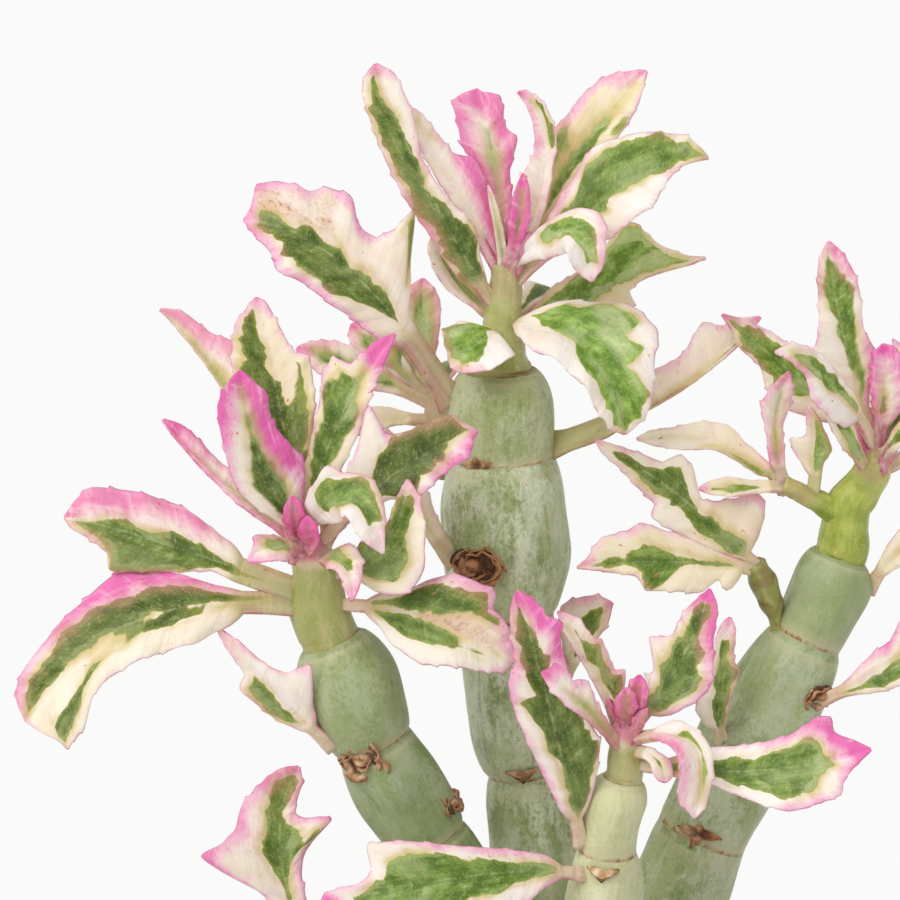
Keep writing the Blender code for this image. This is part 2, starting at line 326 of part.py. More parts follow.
# Side leaves: the stem each one grows from, the height and direction of its root there, and its shape.
SIDE_LEAVES = {
    "leaf_left_lobed": ("stem_centre", 201.2, 195, leaf(
        (0, 0, 0), (-37.2, -4, 223.2), (-53.9, -2, 230.8), (0.2, -1, 0.35), 12,
        ((0.05, 5.0), (0.2, 6.0), (0.3, 7.2), (0.45, 7.2), (0.58, 8.2), (0.7, 5.5), (0.85, 3.3)),
        ((0.06, 2.2), (0.15, 8.0), (0.22, 14.5), (0.28, 10.0), (0.35, 7.0), (0.44, 6.5), (0.5, 9.5),
         (0.6, 9.0), (0.68, 7.0), (0.8, 7.0), (0.88, 5.8), (0.95, 1.8)), girth=2.1)),
    "leaf_centre_right": ("stem_centre", 192.0, RIGHT, leaf(
        (0, 0, 0), (16.6, 2, 201.2), (32.1, 9, 213.1), (-0.1, -1, 0.5), 9,
        ((0.04, 4.2), (0.2, 5.3), (0.45, 4.2), (0.62, 6.5), (0.75, 3.7), (0.88, 2.4)),
        ((0.2, 0.8), (0.5, 0.8), (0.8, 0.8)), girth=2.0)),
    "leaf_centre_left": ("stem_centre", 175.0, 216, leaf(
        (0, 0, 0), (-25.0, -1.5, 182.5), (-30.6, -2, 196.0), (0.4, -1, 0.2), 3, NARROW,
        ((0.1, 1.8), (0.35, 2.4), (0.6, 2.4), (0.85, 1.4)), girth=1.7)),
    "leaf_centre_back": ("stem_centre", 149.0, 20, leaf(
        (0, 0, 0), (3.2, 9.8, 157.6), (7.7, 11, 163.6), (-0.2, -1, 0.3), 4,
        ((0.1, 4.5), (0.3, 6.5), (0.6, 4.8), (0.85, 2.5)),
        ((0.2, 1.6), (0.6, 2.0)))),
    "leaf_left_side": ("stem_left", 148.6, 215, leaf(
        (0, 0, 0), (-49.6, -19.0, 156.2), (-58.0, -19, 166.0), (-0.15, -1, 0.05), 4,
        ((0.05, 2.0), (0.17, 3.2), (0.48, 3.8), (0.6, 1.5), (0.8, 1.1)),
        ((0.05, 3.0), (0.19, 8.2), (0.34, 4.2), (0.56, 2.2), (0.76, 1.7)))),
    "leaf_right_outer": ("stem_right", 152.6, 320, leaf(
        (0, 0, 0), (52.0, -4, 154.6), (60.5, -5, 159.5), (0, -1, 0.4), 4, BROAD, NARROW)),
    "leaf_right_pale": ("stem_right", 170.4, RIGHT, leaf(
        (0, 0, 0), (57.2, 0, 176.2), (67.0, 0, 181.0), (0, -1, 0.3), 3, NARROW, NARROW)),
    "leaf_right_inner": ("stem_right", 140.6, 225, leaf(
        (0, 0, 0), (24.6, -8, 153.6), (26.4, -8, 165.2), (0.1, -1, 0.1), 3,
        ((0.05, 3.0), (0.17, 4.0), (0.5, 2.0), (0.75, 1.8), (0.87, 1.4)),
        ((0.05, 1.4), (0.32, 2.7), (0.46, 3.5), (0.6, 2.1), (0.87, 1.5)))),
    "leaf_front_tall": ("stem_front", 132.6, 205, leaf(
        (0, 0, 0), (-3.5, -32, 153.4), (-9.3, -33, 175.0), (0.1, -1, 0.1), 4,
        ((0.04, 2.4), (0.16, 3.6), (0.3, 4.8), (0.47, 5.8), (0.57, 5.7), (0.68, 3.6), (0.83, 2.8),
         (0.93, 1.7)),
        ((0.06, 3.8), (0.15, 5.7), (0.23, 6.7), (0.35, 5.5), (0.59, 4.5), (0.7, 4.5), (0.75, 5.7),
         (0.83, 3.4), (0.92, 2.3)))),
    "leaf_front_long": ("stem_front", 127.6, 225, leaf(
        (0, 0, 0), (-16.8, -37.5, 129.4), (-41.0, -41, 125.1), (0.1, -1, 0.5), 4,
        ((0.05, 2.7), (0.1, 5.5), (0.25, 7.3), (0.5, 7.0), (0.64, 8.0), (0.75, 5.0), (0.9, 2.3)),
        ((0.05, 2.7), (0.3, 4.5), (0.56, 7.5), (0.65, 8.0), (0.72, 3.5), (0.8, 2.2), (0.92, 2.2)))),
}

# Corky remains of side buds: the height and direction of each on its stem, and its radius.
STUMPS = {
    "stem_centre": ((173.8, 246, 3.3),),
    "stem_left": ((144.0, 245, 3.4), (131.5, 345, 2.2)),
}
STUMP_STEPS = ((-0.6, 1.0), (0.25, 1.1), (0.55, 0.85), (0.7, 0.45))


def clear_scene():
    for item in list(bpy.data.objects):
        bpy.data.objects.remove(item)


def finish(name, colour, roughness):
    """A plain Principled BSDF material."""
    material = bpy.data.materials.new(name)
    material.use_nodes = True
    shader = material.node_tree.nodes["Principled BSDF"]
    shader.inputs["Base Color"].default_value = (*colour, 1)
    shader.inputs["Roughness"].default_value = roughness
    shader.inputs["Metallic"].default_value = 0
    material.diffuse_color = (*colour, 1)
    return material


def add_object(name, points, faces, material):
    """An object from points in millimetres and the faces between them."""
    mesh = bpy.data.meshes.new(name)
    mesh.from_pydata([Vector(point) * MM for point in points], [], faces)
    shell = bmesh.new()
    shell.from_mesh(mesh)
    bmesh.ops.recalc_face_normals(shell, faces=shell.faces)
    shell.to_mesh(mesh)
    shell.free()
    mesh.materials.append(material)
    item = bpy.data.objects.new(name, mesh)
    bpy.context.scene.collection.objects.link(item)
    return item


def shade(item, angle=40):
    item.data.shade_smooth()
    item.data.set_sharp_from_angle(angle=math.radians(angle))


def settle(item):
    """Gives the object its evaluated mesh, and drops the modifiers that made it."""
    graph = bpy.context.evaluated_depsgraph_get()
    mesh = bpy.data.meshes.new_from_object(item.evaluated_get(graph))
    item.modifiers.clear()
    item.data = mesh


def combine(item, others, operation):
    """Joins or cuts the object with a collection of others, which are then removed."""
    group = bpy.data.collections.new(item.name + "_pieces")
    bpy.context.scene.collection.children.link(group)
    for other in others:
        bpy.context.scene.collection.objects.unlink(other)
        group.objects.link(other)
    modifier = item.modifiers.new("combine", "BOOLEAN")
    modifier.operand_type = "COLLECTION"
    modifier.collection = group
    modifier.operation = operation
    modifier.solver = "MANIFOLD"
    settle(item)
    for other in others:
        bpy.data.objects.remove(other)
    bpy.data.collections.remove(group)


def turned(name, profile, sides, material):
    """A closed solid turned round the Z axis from (radius, height) points, listed from axis to axis."""
    points = []
    rings = []
    for radius, height in profile:
        if radius == 0:
            rings.append([len(points)] * sides)
            points.append((0, 0, height))
            continue
        rings.append(list(range(len(points), len(points) + sides)))
        for k in range(sides):
            angle = 2 * math.pi * k / sides
            points.append((radius * math.cos(angle), radius * math.sin(angle), height))
    faces = []
    for lower, upper in zip(rings, rings[1:]):
        for k in range(sides):
            j = (k + 1) % sides
            corners = dict.fromkeys((lower[k], lower[j], upper[j], upper[k]))
            faces.append(tuple(corners))
    return add_object(name, points, faces, material)


def upright(name, x, y, bottom, top, radius, sides, material):
    """An upright round bar."""
    bar = turned(name, ((0, bottom), (radius, bottom), (radius, top), (0, top)), sides, material)
    bar.data.transform(Matrix.Translation((x * MM, y * MM, 0)))
    return bar


def wall_radius(height):
    """The pot's outer radius below its rim."""
    return POT_BASE_RADIUS + (POT_RIM_RADIUS - POT_RIM_STEP - POT_BASE_RADIUS) * height / POT_HEIGHT


def build_pot():
    plastic = finish("pot plastic", TERRACOTTA, 0.5)
    rim_foot = POT_HEIGHT - POT_RIM_DEPTH
    profile = (
        (0, 0),
        (POT_BASE_RADIUS - POT_CHAMFER, 0),
        (wall_radius(POT_CHAMFER), POT_CHAMFER),
        (wall_radius(rim_foot), rim_foot),
        (POT_RIM_RADIUS - 0.6, rim_foot + 0.3),
        (POT_RIM_RADIUS - 0.4, POT_HEIGHT - 0.8),
        (POT_RIM_RADIUS - 1.0, POT_HEIGHT),
        (POT_RIM_RADIUS - POT_WALL, POT_HEIGHT),
        (POT_RIM_RADIUS - POT_WALL - 0.6, POT_HEIGHT - 0.8),
        (wall_radius(rim_foot) - POT_WALL + 0.3, rim_foot + 1.5),
        (wall_radius(POT_FLOOR) - POT_WALL, POT_FLOOR),
        (0, POT_FLOOR),
    )
    pot = turned("pot", profile, POT_SIDES, plastic)
    drills = []
    for k in range(DRAIN_HOLES):
        angle = 2 * math.pi * (k + 0.5) / DRAIN_HOLES
        x = DRAIN_CIRCLE * math.cos(angle)
        y = DRAIN_CIRCLE * math.sin(angle)
        drills.append(upright("drill", x, y, -1, POT_FLOOR + 1, DRAIN_RADIUS, 8, plastic))
    combine(pot, drills, "DIFFERENCE")
    shade(pot)


def build_soil():
    """The potting mix fills the pot, with a plain upright hole for each stem."""
    mix = finish("potting mix", SOIL_BROWN, 0.95)
    inside = POT_WALL + CLEAR
    foot = POT_FLOOR + CLEAR
    profile = (
        (0, foot),
        (wall_radius(foot) - inside - CLEAR, foot),
        (wall_radius(POT_HEIGHT - POT_RIM_DEPTH) - inside - CLEAR, SOIL_LEVEL - 1.5),
        (wall_radius(POT_HEIGHT - POT_RIM_DEPTH) - inside - 1.6, SOIL_LEVEL),
        (0, SOIL_LEVEL),
    )
    soil = turned("soil", profile, POT_SIDES, mix)
    drills = []
    for name, stem in STEMS.items():
        x, y = stem.foot
        bottom = SOIL_LEVEL - ROOT_DEPTH - CLEAR
        radius = stem.radius + HOLE_SLACK
        drills.append(upright("drill", x, y, bottom, SOIL_LEVEL + 1, radius, STEM_SIDES, mix))
    combine(soil, drills, "DIFFERENCE")
    shade(soil)


def curve_through(points, steps):
    """Points along a smooth curve through the given ones, as (point, span index, share of span)."""
    ends = [points[0] * 2 - points[1], *points, points[-1] * 2 - points[-2]]
    found = []
    for k in range(len(points) - 1):
        a, b, c, d = ends[k:k + 4]
        for i in range(steps):
            t = i / steps
            place = b + (c - a) * (t / 2)
            place += (a * 2 - b * 5 + c * 4 - d) * (t * t / 2)
            place += (b * 3 - a - c * 3 + d) * (t ** 3 / 2)
            found.append((place, k, t))
    found.append((points[-1], len(points) - 2, 1.0))
    return found


def ring_round(centre, along, radius, sides):
    """Points of a ring square to a direction, starting from its +X side."""
    across = (Vector((1, 0, 0)) - along * along.x).normalized()
    over = along.cross(across)
    ring = []
    for k in range(sides):
        angle = 2 * math.pi * k / sides
        ring.append(centre + (across * math.cos(angle) + over * math.sin(angle)) * radius)
    return ring


def tube(name, centres, radii, sides, material):
    """A closed round tube along a list of centres, with flat ends."""
    points = []
    for k, centre in enumerate(centres):
        along = (centres[min(k + 1, len(centres) - 1)] - centres[max(k - 1, 0)]).normalized()
        points.extend(ring_round(centre, along, radii[k], sides))
    faces = [tuple(range(sides)), tuple(range(len(points) - sides, len(points)))]
    for row in range(len(centres) - 1):
        for k in range(sides):
            j = (k + 1) % sides
            low = row * sides
            faces.append((low + k, low + j, low + sides + j, low + sides + k))
    return add_object(name, points, faces, material)


def stem_rings(stem):
    """Centres and radii up a stem, from its upright foot in the soil through its joints."""
    x, y = stem.foot
    start = Vector((x, y, SOIL_LEVEL + 1))
    centres = [Vector((x, y, SOIL_LEVEL - ROOT_DEPTH)), Vector((x, y, SOIL_LEVEL - ROOT_DEPTH / 2))]
    radii = [stem.radius * 0.8, stem.radius]
    knots = [start] + [Vector(joint.top) for joint in stem.joints]
    for centre, k, t in curve_through(knots, RINGS_A_JOINT):
        below = stem.joints[k - 1].waist if k else stem.radius
        joint = stem.joints[k]
        waist = below + (joint.waist - below) * t
        centres.append(centre)
        radii.append(waist + (joint.belly - waist) * math.sin(math.pi * t) ** BELLY_FULLNESS)
    return centres, radii


def on_stem(stem_name, height, azimuth, off):
    """A point beside a stem's skin and the way out from it, at a height and an azimuth in degrees."""
    centres, radii = stem_rings(STEMS[stem_name])
    for k in range(len(centres) - 1):
        if centres[k].z <= height <= centres[k + 1].z:
            break
    share = (height - centres[k].z) / (centres[k + 1].z - centres[k].z)
    centre = centres[k].lerp(centres[k + 1], share)
    radius = radii[k] + (radii[k + 1] - radii[k]) * share
    along = (centres[k + 1] - centres[k]).normalized()
    angle = math.radians(azimuth)
    out = Vector((math.cos(angle), math.sin(angle), 0))
    out = (out - along * along.dot(out)).normalized()
    return centre + out * (radius + off), out


def half_width(margin, share, girth):
    """The blade's half width at a share of its length, from the points of its margin."""
    knots = ((0, girth), *margin, (1, TIP_HALF))
    for (low, narrow), (high, wide) in zip(knots, knots[1:]):
        if share <= high:
            return narrow + (wide - narrow) * (share - low) / (high - low)
    return TIP_HALF


def midrib(shape):
    """The midrib as a fine list of points with the length along it."""
    control = shape.via * 2 - (shape.root + shape.tip) / 2
    points = []
    for k in range(PATH_STEPS + 1):
        t = k / PATH_STEPS
        points.append(shape.root * (1 - t) ** 2 + control * (2 * t * (1 - t)) + shape.tip * t * t)
    lengths = [0]
    for a, b in zip(points, points[1:]):
        lengths.append(lengths[-1] + (b - a).length)
    return points, lengths


def along_rib(points, lengths, distance):
    """Place and direction at a distance along the midrib."""
    k = 0
    while k < len(points) - 2 and lengths[k + 1] < distance:
        k += 1
    step = points[k + 1] - points[k]
    share = (distance - lengths[k]) / (lengths[k + 1] - lengths[k])
    return points[k] + step * share, step.normalized()


def blade_rows(shape, length):
    """Where the blade's rows lie: its ends, then each point of its margins, the widest first."""
    rows = [0.0, 1.0]
    for share, _ in sorted(shape.left + shape.right, key=lambda point: -point[1]):
        if all(abs(share - other) * length > ROW_SPACING for other in rows):
            rows.append(share)
    return sorted(rows)


def leaf_object(name, shape, material):
    """A closed blade with its stalk: three points across the upper face and three across the lower."""
    rib, lengths = midrib(shape)
    blade = lengths[-1] - shape.stalk
    rows = [(0, None), (shape.stalk * 0.55, None)]
    rows += [(shape.stalk + share * blade, share) for share in blade_rows(shape, blade)]
    points = []
    for distance, share in rows:
        centre, along = along_rib(rib, lengths, distance)
        up = (shape.face - along * shape.face.dot(along)).normalized()
        left = up.cross(along)
        if share is None:
            fold, slant, thick = 0, 0, STALK_RIB
        else:
            fold, slant, thick = shape.fold, VEIN_SLANT, LEAF_RIB if share < 0.95 else LEAF_EDGE
        margins = []
        for margin, way in ((shape.left, left), (shape.right, -left)):
            half = shape.girth if share is None else half_width(margin, share, shape.girth)
            spread = way * math.cos(fold) + up * math.sin(fold)
            margins.append(centre + (spread + along * slant) * half)
        for offset in (0.5, -0.5):
            trio = [
                margins[0] + up * (offset * LEAF_EDGE),
                centre + up * (offset * thick),
                margins[1] + up * (offset * LEAF_EDGE),
            ]
            points += trio if offset > 0 else trio[::-1]
    last = len(points) - 6
    faces = [(0, 1, 4, 5), (1, 2, 3, 4)]
    faces += [(last, last + 5, last + 4, last + 1), (last + 1, last + 4, last + 3, last + 2)]
    for low in range(0, last, 6):
        faces += strip_faces(points, low, low + 6)
    return add_object(name, points, faces, material)


def strip_faces(points, low, high):
    """Triangles between two six-point rows, split the same way on the upper and the lower face."""
    faces = []
    for a, b, under_b, under_a in ((0, 1, 4, 5), (1, 2, 3, 4)):
        falling = (points[low + a] - points[high + b]).length < (points[low + b] - points[high + a]).length
        if falling:
            faces += [(low + a, low + b, high + b), (low + a, high + b, high + a)]
            faces += [(low + under_b, low + under_a, high + under_b)]
            faces += [(high + under_b, low + under_a, high + under_a)]
        else:
            faces += [(low + a, low + b, high + a), (low + b, high + b, high + a)]
            faces += [(low + under_b, low + under_a, high + under_a)]
            faces += [(low + under_b, high + under_a, high + under_b)]
    for a, b in ((2, 3), (5, 0)):
        faces.append((low + a, low + b, high + b, high + a))
    return faces


def neck_tube(name, knots, material):
    centres = [Vector(place) for place, _ in knots]
    return tube(name, centres, [radius for _, radius in knots], NECK_SIDES, material)


def neck_knots(name):
    """A crown's neck, which starts square on the top of its stem, just clear of it."""
    stem_name, radius, knots = NECKS[name]
    centres, _ = stem_rings(STEMS[stem_name])
    along = (centres[-1] - centres[-2]).normalized()
    foot = [(centres[-1] + along * rise, radius) for rise in (CLEAR, NECK_FOOT)]
    return foot + list(knots)


def build_crown(name, necks, leaves):
    """A neck, or several, with the leaves that grow from it, as one solid."""
    skin = finish(name, LEAF_GREEN, 0.5)
    pieces = [neck_tube(name, knots, skin) for knots in necks]
    for k, shape in enumerate(leaves):
        pieces.append(leaf_object(f"{name}_leaf_{k}", shape, skin))
    combine(pieces[0], pieces[1:], "UNION")


def build_side_leaf(name, stem_name, height, azimuth, shape):
    root, out = on_stem(stem_name, height, azimuth, CLEAR)
    control = shape.via * 2 - (root + shape.tip) / 2
    slant = (control - root).normalized()
    lean = math.sqrt(max(0, 1 - slant.dot(out) ** 2))
    root += out * (lean * shape.girth)
    leaf_object(name, shape._replace(root=root), finish(name, LEAF_GREEN, 0.5))


def build_stem(name, stem):
    """A jointed stem with the low, rough cushions of cork that grow on it."""
    centres, radii = stem_rings(stem)
    skin = finish(name, stem.colour, 0.55)
    item = tube(name, centres, radii, STEM_SIDES, skin)
    cushions = []
    for height, azimuth, radius in STUMPS.get(name, ()):
        foot, out = on_stem(name, height, azimuth, 0)
        middles = [foot + out * (radius * rise) for rise, _ in STUMP_STEPS]
        widths = [radius * width for _, width in STUMP_STEPS]
        cushions.append(tube("cushion", middles, widths, 10, skin))
    if cushions:
        combine(item, cushions, "UNION")
    shade(item)


def build_plant():
    for name, stem in STEMS.items():
        build_stem(name, stem)
    build_crown("crown_centre", [neck_knots("crown_centre")], CROWN_CENTRE)
    build_crown("crown_left", [neck_knots("crown_left")], CROWN_LEFT)
    build_crown("crown_right", [neck_knots("crown_right"), TWIG_RIGHT], CROWN_RIGHT)
    build_crown("crown_front", [neck_knots("crown_front")], CROWN_FRONT)
    build_crown("crown_low_left", [neck_knots("crown_low_left")], CROWN_LOW_LEFT)
    build_crown("crown_branch", [BRANCH_BACK], CROWN_BRANCH)
    build_crown("leaf_right_lobed", [STALK_RIGHT], STALK_RIGHT_LEAVES)
    for name, (stem_name, height, azimuth, shape) in SIDE_LEAVES.items():
        build_side_leaf(name, stem_name, height, azimuth, shape)


clear_scene()
build_pot()
build_soil()
build_plant()
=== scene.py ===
"""Looks of the variegated candle plant: fine leaves, stems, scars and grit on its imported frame.

Tables are in millimetres, as the construction has them, and meshes are made in metres. A leaf is described by
its midrib, the way its upper face looks and the half widths of its two sides along the slanting veins, each
as (percent of the blade, half width). Its paint is described in the same terms: bands of green as (percent of
the blade, from, to), where 100 is the left margin and -100 the right one, and the depth of pink at each
margin.
"""

import math
import random
from collections import namedtuple

import bpy
import numpy as np
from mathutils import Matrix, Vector, noise


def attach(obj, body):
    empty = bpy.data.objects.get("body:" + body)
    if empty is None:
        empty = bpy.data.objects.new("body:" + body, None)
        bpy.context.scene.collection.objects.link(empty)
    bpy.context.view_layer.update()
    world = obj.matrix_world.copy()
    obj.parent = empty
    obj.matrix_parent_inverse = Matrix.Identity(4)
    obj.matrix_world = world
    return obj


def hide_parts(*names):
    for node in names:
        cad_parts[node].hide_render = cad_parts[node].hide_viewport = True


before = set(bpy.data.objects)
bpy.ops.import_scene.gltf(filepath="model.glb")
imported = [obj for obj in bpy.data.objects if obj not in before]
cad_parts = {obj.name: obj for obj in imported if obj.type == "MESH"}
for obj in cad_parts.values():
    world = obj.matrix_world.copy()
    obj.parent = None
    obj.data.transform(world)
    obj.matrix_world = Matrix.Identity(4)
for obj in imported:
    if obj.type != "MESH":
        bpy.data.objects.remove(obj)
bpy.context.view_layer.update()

MM = 0.001

SOIL_LEVEL = 84.0
ROOT_DEPTH = 14.0
POT_INNER_RADIUS = 49.0

# Stems and necks: rings and sides, how full a joint's belly is, and the ridges and swellings of its skin.
STEM_SIDES = 72
RINGS_A_JOINT = 22
BELLY_FULLNESS = 0.65
STEM_ANGLES = 5
STEM_RIDGE = 0.035
STEM_SWELL = 0.7
SWELL_LENGTH = 9.0
JOINT_TURN = 2.4
NECK_SIDES = 32
NECK_RINGS = 10
NECK_LUMP = 0.35
GROOVE_DEPTH = 0.2
NECK_SINKS = (-0.8, 1.2)

# Leaves: the mesh's steps, the stalk, the thicknesses, how far a leaf and a stalk are sunk into what bears
# them, the veins and margins, and how the blade waves, warps, bows and is hollowed along its midrib.
ACROSS = 12
ROW_STEP = 0.4
STALK_STEP = 0.8
COURSE_STEPS = 80
STALK_HALF = 1.1
STALK_THICK = 2.1
STALK_FLARE = 0.25
FLARE_LENGTH = 2.5
RIB_THICK = 1.45
RIB_THINS = 0.55
EDGE_THICK = 0.55
TIP_HALF = 0.25
SUNK = 1.4
STALK_SUNK = 2.5
ROOT_OFF = 0.3
OPENS_IN = 0.06
VEIN_SLANT = math.tan(math.radians(30))
VEIN_PITCH = 3.1
VEIN_RELIEF = 0.05
LOBE_ROUNDNESS = 0.6
TOOTH_RISE = 1.4
TOOTH_FALL = 0.45
SMALL_HALF = 2.5
WAVE_LENGTH = (7.5, 12.0)
WAVE_SHARE = 0.06
WAVE_MOST = 0.5
WARP = 0.3
BOW = 0.07
CHANNEL_DEPTH = 0.35
CHANNEL_HALF = 0.5
KEEL_DEPTH = 0.45
KEEL_HALF = 0.9

# A band of green narrower than this has a calmer edge, down to the calmest.
BROAD_BAND = 5.0
CALMEST = 0.15

# One row of a leaf's points: from the left margin over the upper face to the right one, and back underneath.
UPPER = np.cos(np.pi * np.arange(ACROSS + 1) / ACROSS)
AROUND = np.concatenate([UPPER, UPPER[-2:0:-1]])
FACING = np.concatenate([[0], np.ones(ACROSS - 1), [0], -np.ones(ACROSS - 1)])
OUTWARD = np.abs(AROUND)
ROUNDING = np.sqrt(1 - OUTWARD ** 8)

# The scales of a bud rosette, how thick the dry pieces are, and the crumbs on the soil.
SCALES = 8
SCALE_THICK = 0.22
ROSETTE_THICK = 0.25
SCAR_THICK = 0.18
GRAINS = 900
PERLITE_SHARE = 0.16

GOLDEN_ANGLE = 137.5
RIGHT = 0

ROOM_LIGHT = 0.60
WINDOW_LIGHT = 1.9
FLOOR_REACH = 25.0
CAMERA_DIP = 10

Joint = namedtuple("Joint", "top belly waist")
Stem = namedtuple("Stem", "foot radius joints")
Leaf = namedtuple("Leaf", "root via tip face stalk left right fold girth")
Paint = namedtuple("Paint", "bands left right tip pink bright grey warm blush stipple heart soft stalk frill")

# Each stem stands upright in its hole, then rises joint by joint: the joint's top, its fullest radius and the
# radius of the waist that ends it.
STEMS = {
    "stem_centre": Stem((-0.8, 8), 6.4, (
        Joint((-3.4, 8, 107.4), 7.2, 6.0),
        Joint((-7.6, 6, 135.1), 7.6, 5.8),
        Joint((-10.1, 5, 162.8), 8.3, 7.6),
        Joint((-11.3, 4, 190.1), 10.8, 8.5),
        Joint((-11.7, 3, 205.0), 9.0, 6.2),
    )),
    "stem_left": Stem((-12.4, -6), 6.4, (
        Joint((-17.2, -8, 112.3), 7.4, 6.6),
        Joint((-23.7, -9, 127.7), 7.6, 6.4),
        Joint((-32.5, -11, 144.7), 7.5, 6.2),
        Joint((-39.6, -12, 162.3), 8.3, 5.0),
    )),
    "stem_right": Stem((14.4, 2), 6.2, (
        Joint((15.1, 3, 102.7), 7.8, 7.2),
        Joint((22.8, 3, 124.8), 8.4, 7.8),
        Joint((40.2, 3, 159.2), 8.5, 6.0),
        Joint((45.6, 3, 173.4), 6.8, 4.6),
    )),
    "stem_front": Stem((3.3, -20), 6.0, (
        Joint((5.6, -25.5, 130.2), 6.7, 4.8),
        Joint((7.9, -27, 142.8), 5.1, 3.2),
    )),
    "shoot_low_left": Stem((-23.4, -12), 3.4, (
        Joint((-36.0, -16.5, 100.0), 3.9, 3.0),
    )),
}

# How much paler than common each stem is at its top and at its foot; below 0 it is darker. This is partly
# the skin's own tone and partly painted light and shade: lighter on lit stems, darker on shaded ones.
PALENESS_AND_SHADE = {
    "stem_centre": (0.0, -0.15),
    "stem_left": (-0.45, -1.0),
    "stem_right": (-0.65, -0.3),
    "stem_front": (0.6, 0.4),
    "shoot_low_left": (0.0, -0.3),
}
PALENESS_AND_SHADE_FADES = 60.0

# The neck of each crown: its stem, its radius on the stem's top, then points on its axis with the radii.
NECKS = {
    "crown_centre": ("stem_centre", 5.2, (
        ((-11.5, 2.6, 208.5), 4.2), ((-11.3, 2.4, 213.0), 3.2), ((-10.6, 2, 223.0), 2.5),
    )),
    "crown_left": ("stem_left", 4.9, (
        ((-41.6, -12.6, 167.5), 4.9), ((-42.0, -13, 174.4), 4.1), ((-45.0, -15, 182.5), 1.9),
    )),
    "crown_right": ("stem_right", 4.4, (
        ((46.9, 2, 182.1), 3.8), ((50.4, 1, 187.8), 3.2), ((51.4, 0, 193.0), 1.8),
    )),
    "crown_front": ("stem_front", 3.0, (((8.4, -27.2, 149.0), 2.7), ((8.9, -27.8, 155.5), 1.4))),
    "crown_low_left": ("shoot_low_left", 2.8, (((-42.5, -18, 108.5), 1.8),)),
}
TWIG_RIGHT = (((46.8, 2, 180.0), 2.2), ((40.0, 0.2, 184.0), 1.8), ((35.3, -1, 186.4), 1.5))
BRANCH_BACK = (
    ((-19.9, 10.5, 187.0), 2.3), ((-21.5, 11.7, 188.2), 2.6), ((-22.0, 14.0, 193.5), 2.5),
    ((-22.8, 18, 198.5), 1.4),
)
STALK_RIGHT = (
    ((34.8, 1.0, 163.3), 1.3), ((33.8, 0.2, 166.6), 2.1), ((32.4, -1.4, 170.0), 2.3),
    ((31.0, -3, 173.4), 1.7),
)

# How yellow-green each neck is, how rosy at its top and how brown, each from 0 to 1.
NECK_HUES = {
    "crown_centre": (0.3, 0.15, 0.1),
    "crown_left": (0.3, 0.9, 0.2),
    "crown_right": (0.9, 0.2, 0.0),
    "crown_front": (0.1, 0.9, 0.2),
    "leaf_right_lobed": (0.5, 0.0, 0.8),
}
PLAIN_NECK = (0.3, 0.3, 0.2)

# Old bud rosettes: height and direction on the stem, radius and age from 0, tan, to 1, dark brown.
ROSETTES = {
    "stem_centre": ((173.8, 246, 4.2, 0.5),),
    "stem_left": ((144.0, 245, 3.7, 0.1), (131.5, 345, 2.4, 0.2)),
    "stem_right": ((152.6, 318, 2.8, 0.5),),
}

# Leaf scars: height and direction on the stem, width, depth of the point below, age.
SCARS = {
    "stem_centre": ((137.5, 270, 6.5, 2.0, 0.8),),
    "stem_front": ((129.0, 262, 8.0, 1.8, 0.35),),
}

# Torn scars: height and direction on the stem, reach and age.
STARS = {
    "stem_centre": ((190.6, 240, 2.6, 0.6),),
    "stem_right": ((142.0, 230, 2.0, 0.8), (126.5, 255, 3.4, 0.8)),
}

# The flaps of a torn scar: the way each points, in degrees from level, and its share of the scar's reach.
FLAPS = ((8, 1.0), (176, 0.95), (262, 0.85), (292, 0.5), (228, 0.6), (98, 0.5), (55, 0.35), (135, 0.4))
FLAP_LEAN = -0.16
FLAP_CUP = 0.1


def leaf(root, via, tip, face, stalk, left, right, fold=12, girth=STALK_HALF):
    """A leaf whose midrib runs root, via, tip; the left side is the viewer's with the tip held up."""
    places = (Vector(place) for place in (root, via, tip, face))
    margins = (tuple((share / 100, half) for share, half in margin) for margin in (left, right))
    return Leaf(*places, stalk, *margins, math.radians(fold), girth)


# Margins of the leaves that are alike: narrow ones, and broad ones with a lobe further up or lower down.
SLIM = ((20, 1.2), (50, 1.9), (80, 1.3))
NARROW = ((10, 1.8), (35, 3.2), (60, 3.4), (85, 1.9))
BROAD = ((10, 2.2), (30, 3.8), (50, 4.4), (62, 6.8), (72, 4.2), (90, 1.8))
BROAD_LOW = ((10, 2.4), (30, 4.2), (42, 6.4), (52, 4.2), (75, 3.4), (90, 1.7))
HEART = ((15, 1.5), (50, 1.8), (80, 1.1))


def heart_leaves(top, count, reach):
    """Small leaves in a spiral round a shoot's tip, the outer ones lower and leaning more."""
    found = []
    for k in range(count):
        turn = math.radians(GOLDEN_ANGLE * k - 100)
        lean = 0.3 + 0.5 * k / count
        out = Vector((math.cos(turn), math.sin(turn), 0))
        root = Vector(top) - Vector((0, 0, 1.5 + 3 * k / count))
        via = root + out * (reach * lean * 0.7) + Vector((0, 0, reach * 0.5))
        tip = root + out * (reach * lean) + Vector((0, 0, reach))
        found.append(leaf(root, via, tip, Vector((0, 0, 0.2)) - out, 1.5, HEART, HEART, 25, 1.5))
    return tuple(found)


